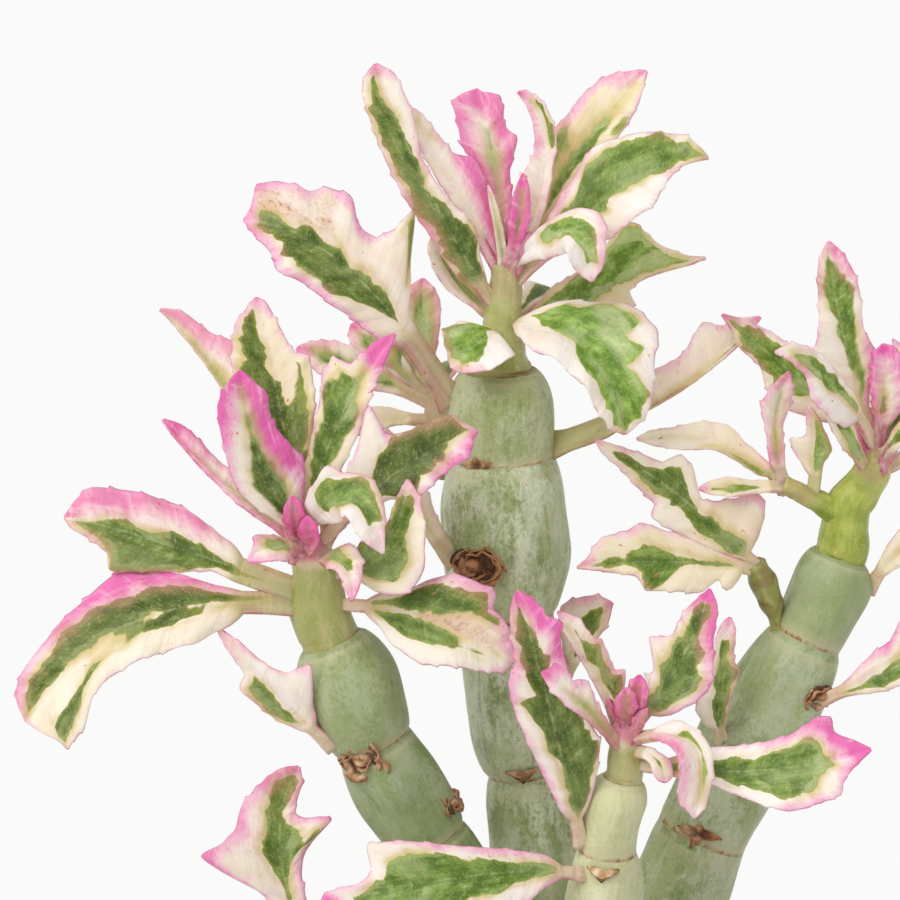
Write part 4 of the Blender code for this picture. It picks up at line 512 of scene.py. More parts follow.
PAINTS = {
    "crown_centre": (
        paint(((0, -90, 85), (15, -97, 90), (30, -80, 60), (45, -50, 85), (60, -30, 80), (75, -20, 95),
               (85, 0, 95), (93, 30, 70)), left=((0, 0.2), (30, 2.6), (42, 2), (60, 0.5), (100, 0.6)),
              right=((0, 0.2), (20, 0.3), (50, 0.7), (80, 0.7), (100, 1.2)), tip=94, bright=25, grey=20),
        paint(((72, -50, -35), (86, -45, -30)), left=0.4,
              right=((0, 3), (30, 4.5), (48, 4), (62, 1.2), (75, 0.4), (100, 0.4)), tip=97, pink=80,
              blush=20, heart=70),
        paint(((20, -15, 30), (50, -30, 35), (75, -25, 20)), left=3.2, right=3.4, tip=80, pink=75,
              bright=80, grey=100, blush=75, heart=60, soft=90, frill=150),
        paint(((62, -97, -50), (75, -97, -35), (88, -95, -40)), left=1.2, right=0.5, tip=90, pink=85,
              blush=30, heart=70, frill=130),
        paint(((5, -35, 35), (25, -35, 30), (50, -45, 20), (70, -40, 12), (90, -25, 5)),
              ((60, -97, -60), (72, -97, -60)), ((8, 30, 85), (30, 35, 80), (50, 50, 85)),
              left=((0, 0.3), (30, 0.9), (60, 2), (100, 2.4)), tip=96, bright=70, grey=40, warm=90,
              soft=12),
        paint(((0, -25, 40), (15, -20, 50), (30, -15, 50), (40, -25, 75), (50, -10, 95), (70, -30, 97),
               (85, -70, 90), (97, -70, 70)), left=((0, 0.3), (25, 1.4), (40, 1.2), (50, 0.2), (100, 0.4)),
              right=((0, 0.9), (40, 0.3), (100, 0.5)), tip=98, bright=60, grey=20, warm=5, blush=5),
        paint(((25, -30, 70), (45, -50, 80), (65, -50, 60), (85, -30, 60)),
              left=((0, 0.2), (40, 0.8), (60, 1.6), (100, 0.8)), bright=90, grey=100, warm=5),
        paint(((5, -20, 50), (30, -40, 90), (50, -30, 100), (70, -70, 90), (90, -60, 60)),
              left=((0, 0.3), (35, 0.9), (50, 0.3), (100, 0.5)), right=0.1, tip=97, bright=100, grey=160,
              warm=100, blush=3),
        paint(((4, 5, 35), (15, 0, 75), (30, -15, 82), (42, -20, 86), (48, -60, 50), (56, -72, 85),
               (64, -66, 55), (75, -75, 80), (88, -75, 85), (97, -60, 60)),
              left=((0, 0.1), (30, 0.3), (50, 1.2), (60, 0.4), (100, 0.2)), right=0.1, tip=99, pink=45,
              bright=100, grey=35, warm=20, blush=3),
        paint(((0, -90, 5), (25, -95, 20), (50, -95, 50), (85, -80, 60)),
              left=((0, 0), (50, 0.2), (75, 1.2), (100, 1.2)), tip=97, bright=100, grey=10, warm=5,
              blush=3, frill=120),
        paint(THIN, left=0.4, right=0.4, bright=50),
        BACK_LEAF,
        BACK_LEAF,
        paint(((0, -90, 90), (90, -80, 80)), left=0.1, right=0.1, bright=90, grey=90, soft=50, frill=50),
        paint(THIN, left=1.6, right=1.6, tip=10, pink=95, blush=70, heart=80),
    ),
    "crown_left": (
        paint(((0, -20, 80), (15, -25, 97), (35, -30, 97), (50, -35, 97), (60, -20, 95), (75, -25, 70),
               (88, -15, 80), (96, 0, 60)), left=((0, 0.2), (50, 0.2), (65, 0.8), (100, 1)),
              right=((0, 1.5), (20, 3.5), (60, 4.5), (80, 5), (100, 4)), tip=96, pink=62, bright=30,
              grey=50, blush=60, stalk=(90, 20)),
        paint(((0, -60, 10), (10, -60, 6), (25, -50, 2), (38, -50, 0), (50, -68, 0), (70, -68, 4),
               (85, -62, 0), (95, -55, 5)),
              ((2, 0, 20), (15, 5, 35), (30, 10, 45), (45, 25, 50), (60, 35, 60), (75, 50, 85),
               (85, 55, 95)), left=((0, 0.1), (55, 0.2), (80, 0.5), (100, 0.8)),
              right=((0, 1.8), (12, 3.2), (25, 5.2), (38, 4.8), (50, 2.8), (70, 2), (100, 1.4)), tip=98,
              pink=95, bright=10, grey=40, warm=50, blush=5, stalk=(80, 30)),
        paint(((10, -15, 20), (40, -10, 25), (70, -10, 15)), left=1.6, right=2.2, tip=80, pink=85, grey=90,
              blush=80, heart=70, soft=70),
        paint(((0, -25, 30), (15, -30, 50), (30, -30, 55), (45, -35, 40), (60, -30, 15), (75, -25, 10),
               (88, -10, 10)), left=((0, 0.4), (45, 1.2), (70, 3), (100, 4)),
              right=((0, 1.5), (15, 2.5), (30, 4.5), (60, 5), (100, 6)), tip=80, pink=100, bright=20,
              grey=40, soft=20, frill=120),
        paint(((0, -80, 80), (20, -85, 80), (35, -75, 85), (45, -30, 80), (60, -10, 80), (75, 0, 90),
               (93, 20, 80)), ((15, -80, -30), (35, -85, -35), (50, -80, -45), (60, -75, -60)),
              left=((0, 0.2), (60, 0.5), (100, 1.6)), right=0.35, tip=93, pink=90, bright=20, grey=20,
              warm=70, blush=10),
        paint(((5, 0, 102), (50, -20, 102), (80, -20, 90), (95, 0, 50)), left=0.2, right=3, tip=93,
              pink=40, bright=70, grey=50, blush=50, soft=40),
        paint(((0, -50, 80), (20, -60, 85), (40, -70, 85), (55, -60, 80), (65, -50, 70), (75, -30, 50)),
              left=((0, 0.3), (50, 0.6), (65, 1.6), (100, 1.8)), right=((0, 0.2), (55, 0.6), (100, 2)),
              tip=74, pink=90, grey=80, warm=70, soft=15),
        paint(((20, -75, 10), (32, -80, 30), (45, -75, 85), (60, -50, 95), (72, -40, 97),
               (82, -10, 95), (94, 10, 80)), left=((0, 0.4), (30, 1), (50, 0.4), (100, 1.6)),
              right=((0, 0.4), (55, 1), (75, 2.4), (100, 3)), tip=93, pink=100, bright=0, grey=10),
        paint(((15, -20, 80), (35, -45, 85), (55, -50, 80), (75, -40, 70)),
              left=((0, 0.2), (30, 1), (100, 0.4)), tip=97, pink=50, bright=60, grey=40, warm=10,
              blush=10),
        paint(((5, -30, 90), (20, -75, 95), (35, -70, 95), (50, -50, 95), (70, -60, 90), (85, -60, 70)),
              left=((0, 0.1), (70, 0.2), (100, 1)), right=((0, 0.2), (70, 0.4), (100, 1)), tip=93, pink=80,
              bright=50, warm=60),
        paint(((3, 5, 40), (20, 10, 70), (40, 10, 80), (55, 30, 85), (70, 55, 95), (80, 70, 90)),
              ((5, -30, 0), (20, -55, -10), (40, -60, -15), (60, -60, -20), (75, -55, -30),
               (85, -45, -35)), left=((0, 0.4), (20, 1.6), (40, 2.6), (75, 2.2), (100, 1.4)),
              right=((0, 0.2), (80, 0.3), (100, 0.8)), pink=75, bright=40, grey=20, warm=35, blush=12,
              stipple=(35, 85, -15, 35)),
        paint(((10, -40, 50), (60, -40, 50)), left=1.4, right=1, tip=85, pink=90, bright=80, grey=60),
        BUD,
        BUD,
        paint(((10, -30, 50), (60, -40, 50)), left=1, right=0.8, tip=85, pink=85, bright=60),
        BACK_LEAF,
        BACK_LEAF,
    ),
    "crown_right": (
        paint(((20, -50, 50), (35, -80, 95), (55, -80, 100), (80, -75, 95), (94, -50, 60)),
              left=((0, 0.3), (50, 0.4), (100, 1)), right=((0, 0.6), (50, 0.7), (100, 1.4)), tip=92,
              pink=90, bright=75, grey=20, blush=10),
        paint(((5, -60, 10), (30, -60, 25), (60, -50, 50), (85, -30, 50)),
              left=((0, 0.4), (30, 0.8), (100, 0.5)), tip=96, pink=80, bright=80, grey=120, warm=10,
              blush=10),
        paint(((0, -30, 20), (15, -50, 5), (30, -60, 20), (50, -85, 40), (70, -80, 60), (85, -40, 70),
               (93, 0, 50)), left=((0, 0.2), (25, 0.5), (50, 0.4), (100, 1)),
              right=((0, 2), (20, 2.6), (35, 1.2), (60, 0.8), (80, 2.2), (100, 3)), tip=93, pink=85,
              bright=60, grey=15, soft=15),
        paint(((15, -25, 30), (40, -35, 25), (68, -20, 10)), left=2.6, right=3, tip=75, pink=100,
              bright=30, blush=80, heart=80, frill=220),
        paint(((0, -80, 70), (40, -90, 65), (80, -80, 70)), tip=96, bright=80, grey=50, warm=40),
        paint(MIDDLE, left=1.4, right=0.8, tip=80, pink=90, bright=40),
        paint(MIDDLE, left=0.8, right=0.5, tip=85, pink=70, bright=50),
        paint(((10, -50, 30), (50, -60, 20), (85, -40, 20)), left=0.7, right=0.7, bright=60, warm=50),
        BACK_LEAF,
        paint(((5, -20, 35), (40, -35, 25), (80, -30, 15)), left=1.6, right=1.4, tip=85, pink=85,
              bright=40, grey=40, blush=70, heart=20, soft=40, frill=160),
        paint(((5, -97, 15), (35, -97, 20), (70, -97, 20), (85, -80, 0)), left=0.6, right=0.2, tip=94,
              bright=80, warm=50, stalk=(90, 0)),
        paint(((2, 40, 97), (20, 50, 97), (40, 55, 95), (50, 70, 90)), ((55, 20, 40), (80, 25, 45)),
              left=((0, 0.1), (50, 0.3), (100, 0.6)), right=0.25, tip=93, pink=15, bright=60, grey=10,
              warm=60, blush=50, stalk=(90, 0)),
        paint(((0, -30, 60), (40, -40, 75), (85, -30, 70)), right=0.25, tip=90, pink=80, bright=80,
              warm=60),
    ),
    "crown_front": (
        paint(((0, -30, 60), (30, -30, 60), (55, -30, 50), (75, -20, 40)), left=1.2,
              right=((0, 0.5), (50, 1.8), (100, 2.5)), tip=82, pink=85, bright=80, grey=100, blush=50,
              heart=60, soft=50, frill=160),
        paint(((15, -90, -10), (35, -85, -5), (55, -80, 0), (75, -60, 0), (85, -30, 10)),
              right=((0, 1), (30, 1.8), (60, 1.2), (100, 0.8)), tip=93, pink=75, bright=40, grey=70,
              blush=20),
        BUD,
        BUD,
        paint(((0, -50, 50), (20, -75, 35), (35, -80, 50), (50, -70, 75), (70, -65, 80), (88, -60, 70)),
              left=((0, 0.1), (50, 0.3), (70, 1.4), (100, 3)),
              right=((0, 1), (30, 1.6), (50, 2.4), (70, 4), (100, 4.5)), tip=92, pink=95, bright=30,
              grey=40, blush=10),
        paint(((25, -10, 45), (50, 10, 60), (70, 0, 50), (85, -10, 40)), left=0.25,
              right=((0, 1.8), (40, 3), (70, 2), (100, 0.8)), pink=55, bright=80, grey=50, warm=10,
              blush=30),
        paint(((5, -30, 30), (20, -55, 50), (40, -60, 60), (55, -75, 55), (70, -60, 50), (80, -40, 30)),
              left=((0, 0.5), (40, 1.2), (60, 2.4), (75, 4), (100, 4)),
              right=((0, 0.2), (50, 0.5), (70, 1.4), (100, 2.4)), tip=88, pink=95, bright=50, grey=60,
              warm=15),
        paint(THIN, left=0.8, right=0.8, pink=90),
        BACK_LEAF,
    ),
    "crown_low_left": (
        paint(((0, -10, 10), (15, -15, 15), (30, -35, 15), (45, -35, 35), (55, -50, 35), (70, -55, 60),
               (85, -60, 55), (93, -50, 30)), ((40, -75, -45), (46, -80, -50)),
              left=((0, 1), (20, 1.4), (30, 4), (40, 1.4), (100, 2.4)),
              right=((0, 0.2), (40, 2), (100, 1.6)), tip=90, pink=80, bright=40, grey=60, blush=45),
        paint(MIDDLE, left=1.6, right=1.2, tip=85, pink=80),
        paint(MIDDLE, left=1.2, right=1.6, tip=85, pink=80, bright=50),
        paint(MIDDLE, left=0.8, right=1, tip=85, pink=70, bright=60),
        BACK_LEAF,
    ),
    "crown_branch": (
        paint(MIDDLE, left=1.2, right=1, tip=80, bright=90, grey=80, blush=50, soft=60),
        paint(MIDDLE, left=1, right=1, tip=80, pink=70, bright=90, grey=80, blush=50, soft=60),
        paint(((10, 10, 70), (80, 10, 60)), left=0.4, right=0.9, pink=45, bright=90, warm=70, blush=50,
              soft=60),
        paint(((0, -60, 60), (50, -50, 60), (90, -30, 40)), left=0.4, right=0.5, pink=70, bright=100,
              grey=50, warm=100, blush=30, soft=80),
        paint(MIDDLE, left=1.4, right=1.2, tip=80, bright=90, grey=90, warm=60, blush=50, soft=80),
        BACK_LEAF,
    ),
    "leaf_left_lobed": (
        paint(((0, -10, 10), (12, -12, 15), (25, -12, 50), (35, -20, 80), (45, -12, 70), (55, -15, 65),
               (65, -20, 70), (78, -25, 70), (90, -30, 40)),
              ((14, -85, -66), (20, -92, -70), (24, -88, -72)),
              left=((0, 2.4), (12, 1.4), (30, 1.4), (60, 1.4), (100, 1.6)),
              right=((0, 0.2), (35, 0.3), (48, 2.6), (60, 1.6), (80, 1.2), (100, 2)), pink=100, bright=20,
              warm=35, blush=25, stipple=(55, 92, -90, -25), stalk=(55, 25)),
    ),
    "leaf_right_lobed": (
        paint(((0, -15, 60), (12, -15, 60), (25, -35, 70), (36, -50, 50), (42, -35, 35), (50, -85, 50),
               (58, -80, 55), (70, -50, 60), (85, -45, 55), (95, -20, 30)),
              left=((0, 0.1), (40, 0.2), (60, 0.7), (100, 0.8)),
              right=((0, 1.5), (15, 0.5), (50, 0.6), (100, 0.9)), bright=35, grey=35, warm=45),
        paint(((5, -30, 10), (20, -35, 25), (35, -40, 30), (45, -45, 90), (55, -50, 85), (65, -45, 60),
               (80, -40, 75), (95, -10, 50)), left=((0, 0.1), (50, 0.25), (100, 0.6)),
              right=((0, 0.2), (50, 1.2), (70, 1), (100, 1.2)), pink=50, bright=55, warm=75),
    ),
    "leaf_centre_right": (
        paint(((5, -80, -10), (50, -90, 0), (90, -80, 10)), left=((0, 0.2), (50, 0.8), (100, 1.2)),
              right=0.4, tip=90, pink=55, bright=60, grey=90, blush=45, stalk=(100, 0)),
    ),
    "leaf_centre_left": (
        paint(((0, 10, 60), (50, 20, 70), (90, 20, 50)), right=0.8, pink=35, bright=70, grey=50, warm=70,
              blush=55, soft=60),
    ),
    "leaf_centre_back": (
        paint(((5, -60, 20), (30, -70, 35), (60, -50, 60), (85, -30, 50)),
              left=((0, 1), (50, 2.4), (100, 2)), right=0.6, tip=80, pink=75, blush=30),
    ),
    "leaf_left_side": (
        paint(((8, 5, 75), (30, 0, 90), (48, 0, 70), (56, -10, 50), (80, -10, 30)),
              left=((0, 0.2), (40, 0.6), (100, 0.8)), right=((0, 0.8), (20, 1.2), (40, 0.5), (100, 0.8)),
              tip=93, bright=40, warm=15, blush=20),
    ),
    "leaf_right_outer": (
        paint(((0, -80, 10), (40, -80, 10), (80, -60, 20)), left=1.8, right=0.5, tip=85, pink=90,
              bright=50, grey=40, blush=50),
    ),
    "leaf_right_pale": (
        paint(((10, -20, 10), (60, -20, 10)), left=0.4, right=0.4, tip=93, pink=50, bright=80, grey=60,
              warm=70),
    ),
    "leaf_right_inner": (
        paint(((0, -80, 30), (20, -80, 40), (50, -80, 50), (80, -50, 50)), left=0.4,
              right=((0, 0.2), (50, 0.5), (100, 1)), tip=88, pink=80, bright=50, grey=40),
    ),
    "leaf_front_tall": (
        paint(((0, -50, 10), (15, -90, 12), (25, -97, 25), (35, -97, 45), (45, -97, 75), (50, -90, 80),
               (55, -60, 45), (62, -50, 50), (75, -30, 85), (83, -20, 90), (92, 0, 60)),
              left=((0, 0.4), (40, 1.2), (60, 1.8), (100, 1.4)),
              right=((0, 0.2), (50, 0.4), (65, 3), (80, 3.6), (100, 3.4)), tip=90, pink=95, bright=15,
              grey=20, warm=20),
    ),
    "leaf_front_long": (
        paint(((2, -30, 25), (12, -55, 30), (25, -60, 60), (40, -65, 75), (60, -70, 80), (72, -60, 70),
               (85, -30, 50)), left=((0, 0.8), (20, 1.6), (50, 0.8), (100, 1.5)),
              right=((0, 0.3), (20, 2), (40, 1.4), (60, 0.4), (100, 1.6)), tip=88, pink=85, bright=55,
              warm=20, blush=20),
    ),
}


class Skin:
    """Points, faces and named values of each point, gathered into one mesh."""

    def __init__(self):
        self.points = []
        self.faces = []
        self.values = {}
        self.count = 0

    def add(self, points, faces, **values):
        """Adds points in millimetres, faces between them and three values a point under each name."""
        self.faces += [tuple(self.count + corner for corner in face) for face in faces]
        self.points.append(np.asarray(points, dtype=float))
        for name, rows in values.items():
            self.values.setdefault(name, []).append(np.broadcast_to(rows, (len(points), 3)))
        self.count += len(points)

    def make(self, name, material, replaced=()):
        """The mesh as a smooth piece on the root body."""
        mesh = bpy.data.meshes.new(name)
        mesh.from_pydata((np.vstack(self.points) * MM).tolist(), [], self.faces)
        for key, blocks in self.values.items():
            layer = mesh.attributes.new(key, "FLOAT_VECTOR", "POINT")
            layer.data.foreach_set("vector", np.vstack(blocks).ravel())
        mesh.shade_smooth()
        mesh.materials.append(material)
        piece = bpy.data.objects.new(name, mesh)
        bpy.context.scene.collection.objects.link(piece)
        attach(piece, "root")
        if replaced:
            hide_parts(*replaced)
        return piece


def ring_faces(rings, sides):
    """Faces of a closed tube of equal rings, with a cap at each end."""
    faces = [tuple(range(sides))[::-1], tuple(range((rings - 1) * sides, rings * sides))]
    for row in range(rings - 1):
        low = row * sides
        for k in range(sides):
            j = (k + 1) % sides
            faces.append((low + k, low + j, low + sides + j, low + sides + k))
    return faces


def wobble(x, y, z=0.0):
    """Smooth noise from -1 to 1."""
    return noise.noise(Vector((x, y, z)))


def curve_through(points, steps):
    """Points along a smooth curve through the given ones, as (point, span index, share of span)."""
    ends = [points[0] * 2 - points[1], *points, points[-1] * 2 - points[-2]]
    found = []
    for k in range(len(points) - 1):
        a, b, c, d = ends[k:k + 4]
        for i in range(steps):
            t = i / steps
            place = b + (c - a) * (t / 2)
            place += (a * 2 - b * 5 + c * 4 - d) * (t * t / 2)
            place += (b * 3 - a - c * 3 + d) * (t ** 3 / 2)
            found.append((place, k, t))
    found.append((points[-1], len(points) - 2, 1.0))
    return found


def stem_rings(stem):
    """Centres, radii and the share of its joint of each ring up a stem."""
    x, y = stem.foot
    knots = [Vector((x, y, SOIL_LEVEL + 1))] + [Vector(joint.top) for joint in stem.joints]
    centres = [Vector((x, y, SOIL_LEVEL - ROOT_DEPTH * 0.4))]
    radii = [stem.radius * 0.9]
    shares = [0.0]
    for centre, k, t in curve_through(knots, RINGS_A_JOINT):
        below = stem.joints[k - 1].waist if k else stem.radius
        joint = stem.joints[k]
        waist = below + (joint.waist - below) * t
        centres.append(centre)
        radii.append(waist + (joint.belly - waist) * math.sin(math.pi * t) ** BELLY_FULLNESS)
        shares.append(k + t)
    return centres, radii, shares


def directions(centres):
    """The way along a list of centres at each of them."""
    last = len(centres) - 1
    return [(centres[min(k + 1, last)] - centres[max(k - 1, 0)]).normalized() for k in range(last + 1)]


def on_stem(stem_name, height, azimuth, off):
    """A point beside a stem's skin, the way out from it and the way up it."""
    centres, radii, _ = stem_rings(STEMS[stem_name])
    k = 0
    while k < len(centres) - 2 and centres[k + 1].z < height:
        k += 1
    share = (height - centres[k].z) / (centres[k + 1].z - centres[k].z)
    centre = centres[k].lerp(centres[k + 1], share)
    radius = radii[k] + (radii[k + 1] - radii[k]) * share
    along = (centres[k + 1] - centres[k]).normalized()
    angle = math.radians(azimuth)
    out = Vector((math.cos(angle), math.sin(angle), 0))
    out = (out - along * along.dot(out)).normalized()
    return centre + out * (radius + off), out, along


def square_to(along):
    """Two ways square to a tube's course, the first as near +X as it can be."""
    across = (Vector((1, 0, 0)) - along * along.x).normalized()
    return across, along.cross(across)


def around(sides):
    """Each side of a ring as (angle, cosine, sine)."""
    angles = (2 * math.pi * i / sides for i in range(sides))
    return [(angle, math.cos(angle), math.sin(angle)) for angle in angles]


def add_stem(skin, name, stem):
    """A jointed stem, soft ridges running down each joint from the leaf scars above it."""
    centres, radii, shares = stem_rings(stem)
    seed = len(name) * 7.3 + stem.foot[0]
    top_pale_and_shade, foot_pale_and_shade = PALENESS_AND_SHADE[name]
    points, places, rises = [], [], []
    height = 0.0
    for k, along in enumerate(directions(centres)):
        if k:
            height += (centres[k] - centres[k - 1]).length
        across, over = square_to(along)
        joint = int(shares[k])
        inside = math.sin(math.pi * (shares[k] - joint)) ** 0.5 if shares[k] % 1 else 0.0
        below_top = stem.joints[-1].top[2] - centres[k].z
        # The skin's paleness, partly its own tone and partly painted light and shade.
        pale = top_pale_and_shade + (foot_pale_and_shade - top_pale_and_shade) * min(1.0, max(0.0, below_top / PALENESS_AND_SHADE_FADES))
        for angle, x, y in around(STEM_SIDES):
            ridge = STEM_RIDGE * math.cos(STEM_ANGLES * angle + joint * JOINT_TURN + seed)
            swell = STEM_SWELL * wobble(x * 1.3 + seed, y * 1.3, height / SWELL_LENGTH + joint * 3)
            radius = radii[k] * (1 + ridge * inside) + swell * inside
            points.append(centres[k] + (across * x + over * y) * radius)
            places.append((x * radii[k] + seed, y * radii[k], height))
            rises.append((pale, shares[k] % 1, below_top))
    skin.add(points, ring_faces(len(centres), STEM_SIDES), place=places, rise=rises)


def add_neck(skin, knots, foot, hue):
    """The slim green top of a shoot, ringed by the scars of fallen leaves."""
    centres, radii = [], []
    for centre, k, t in curve_through([Vector(place) for place, _ in knots], NECK_RINGS):
        centres.append(centre)
        low, high = knots[k][1], knots[k + 1][1]
        radii.append(low + (high - low) * (3 * t * t - 2 * t ** 3))
    seed = knots[0][0][0]
    points, places, rises = [], [], []
    height = foot
    length = sum((b - a).length for a, b in zip(centres, centres[1:]))
    for k, along in enumerate(directions(centres)):
        if k:
            height += (centres[k] - centres[k - 1]).length
        across, over = square_to(along)
        for angle, x, y in around(NECK_SIDES):
            lump = NECK_LUMP * wobble(x * 1.2 + seed, y * 1.2, height / 3)
            phase = height * 1.1 + angle + 2.2 * wobble(x * 0.8, y * 0.8, seed + height / 6)
            groove = -GROOVE_DEPTH * max(0.0, math.cos(phase)) ** 8
            groove *= max(0.0, 0.5 + wobble(x, y + seed, height / 4) * 2)
            points.append(centres[k] + (across * x + over * y) * (radii[k] + lump + groove))
            places.append((x * radii[k] + seed, y * radii[k], height))
            rises.append((-groove / GROOVE_DEPTH, 0, foot + length - height))
    skin.add(points, ring_faces(len(centres), NECK_SIDES), place=places, rise=rises, hue=hue)


def margin_curve(margin, girth):
    """The half width along a margin as a smooth curve through its points that never overshoots them."""
    knots = ((0, girth), *margin, (1, TIP_HALF))
    shares = np.array([share for share, _ in knots])
    halves = np.array([half for _, half in knots])
    steps = np.diff(shares)
    slopes = np.diff(halves) / steps
    bends = np.zeros(len(knots))
    for k in range(1, len(knots) - 1):
        if slopes[k - 1] * slopes[k] > 0:
            bends[k] = 2 * slopes[k - 1] * slopes[k] / (slopes[k - 1] + slopes[k])
    bends[0], bends[-1] = slopes[0], slopes[-1]

    def half_at(share):
        k = int(np.clip(np.searchsorted(shares, share) - 1, 0, len(steps) - 1))
        t = (share - shares[k]) / steps[k]
        smooth = (halves[k] * (1 + 2 * t) * (1 - t) ** 2 + halves[k + 1] * t * t * (3 - 2 * t)
                  + steps[k] * t * (1 - t) * (bends[k] * (1 - t) - bends[k + 1] * t))
        straight = halves[k] + (halves[k + 1] - halves[k]) * t
        return LOBE_ROUNDNESS * smooth + (1 - LOBE_ROUNDNESS) * straight

    return half_at


def teeth_of(draw, blade, frill):
    """Small teeth of a margin as (place along the blade, height)."""
    teeth = []
    place = draw.uniform(0.12, 0.2) * blade
    while place < blade * 0.97:
        teeth.append((place, draw.uniform(0.1, 0.5) * frill))
        place += draw.uniform(2.0, 6.0) / frill
    return teeth


def tooth_at(teeth, place):
    """How far the nearest tooth stands out there, and how near its point that is from 0 to 1."""
    most = 0.0
    near = 0.0
    for middle, height in teeth:
        run = TOOTH_RISE if place < middle else TOOTH_FALL
        share = max(0.0, 1 - abs(place - middle) / run) ** 1.3
        most = max(most, height * share)
        near = max(near, share)
    return most, near


def inside_band(band, share, wide, halves, blade):
    """How deep inside a band of green each point of a row lies, below zero outside it, and its width."""
    shares = [knot[0] for knot in band]
    low, high = (float(np.interp(share, shares, [knot[i] for knot in band])) for i in (1, 2))
    low *= halves[0] if low > 0 else halves[1]
    high *= halves[0] if high > 0 else halves[1]
    depth = np.minimum(wide - low, high - wide)
    if shares[0] > 0.01:
        depth = np.minimum(depth, (share - shares[0]) * blade)
    elif share < 0:
        depth = depth + share * blade * 0.13
    return np.minimum(depth, (shares[-1] + 0.02 - share) * blade), high - low


class Midrib:
    """The curved course of a leaf from its root by way of its middle to its tip."""

    def __init__(self, shape):
        self.root, self.tip, self.face = shape.root, shape.tip, shape.face
        self.control = shape.via * 2 - (shape.root + shape.tip) / 2
        self.ways = [k / COURSE_STEPS for k in range(COURSE_STEPS + 1)]
        course = [self.point(t) for t in self.ways]
        self.lengths = np.cumsum([0] + [(b - a).length for a, b in zip(course, course[1:])])

    def point(self, t):
        return self.root * (1 - t) ** 2 + self.control * (2 * t * (1 - t)) + self.tip * t * t

    def at(self, distance):
        """The point at a distance along it, the way on, the way to the left and the way its face looks."""
        t = float(np.interp(distance, self.lengths, self.ways))
        along = ((self.control - self.root) * (1 - t) + (self.tip - self.control) * t).normalized()
        centre = self.root + along * distance if distance < 0 else self.point(t)
        up = (self.face - along * self.face.dot(along)).normalized()
        return centre, along, up.cross(along), up


def leaf_section(shape, share, along_blade, half, waves, seed):
    """One row of a leaf as how far each point lies to its left, onward and above the midrib."""
    opening = min(1.0, max(0.0, share / OPENS_IN))
    reach = OUTWARD * half
    arch = OUTWARD * (1 - OUTWARD) * 4
    waving = [math.sin(2 * math.pi * along_blade / pitch + phase) for pitch, phase in waves]
    wave = np.where(AROUND >= 0, *waving) * np.minimum(WAVE_SHARE * half, WAVE_MOST) * OUTWARD ** 2
    warp = WARP * wobble(along_blade / 6, seed) * opening
    lift = (reach * math.sin(shape.fold) + BOW * half * arch + wave + warp) * opening
    slim = 1 - RIB_THINS * max(0.0, share)
    rib = RIB_THICK * slim + (STALK_THICK - RIB_THICK) * max(0.0, 1 - max(0.0, share) / 0.15)
    edge = EDGE_THICK * opening + STALK_THICK * 0.55 * (1 - opening)
    thick = (edge + (rib - edge) * (1 - OUTWARD) ** 1.4) * ROUNDING
    channel = CHANNEL_DEPTH * np.exp(-(reach / CHANNEL_HALF) ** 2) * slim
    keel = KEEL_DEPTH * np.exp(-(reach / KEEL_HALF) ** 2) * slim
    vein = VEIN_RELIEF * math.cos(2 * math.pi * along_blade / VEIN_PITCH) * arch
    face = np.where(FACING > 0, thick / 2 - channel + vein * opening, -thick / 2 - keel)
    face = np.where(FACING == 0, 0, face)
    return AROUND * half * math.cos(shape.fold * opening), VEIN_SLANT * reach * opening, lift + face


def leaf_zones(colours, share, blade, halves, margin):
    """How deep each point of a row lies in green, pink and stipple, and how steady the green's edge is."""
    half = np.where(AROUND >= 0, *halves)
    depths, widths = zip(*(inside_band(band, share, AROUND * half, halves, blade) for band in colours.bands))
    steady = np.clip(np.array(widths) / BROAD_BAND, CALMEST, 1)[np.argmax(depths, axis=0)]
    rims = [float(np.interp(share, *zip(*rim))) for rim in (colours.left, colours.right)]
    end = min(1.0, max(0.0, share))
    pink = np.maximum(np.where(AROUND >= 0, *rims) - margin, (end - colours.tip) * blade)
    low, high, narrow, wider = colours.stipple
    stipple = np.minimum(np.minimum(AROUND - narrow, wider - AROUND) * half,
                         min(share - low, high - share) * blade)
    return np.max(depths, axis=0), pink, stipple, steady


def row_of(*values):
    """Three values for each point of a row, from arrays or single numbers."""
    return np.stack([np.broadcast_to(value, AROUND.shape) for value in values], 1)


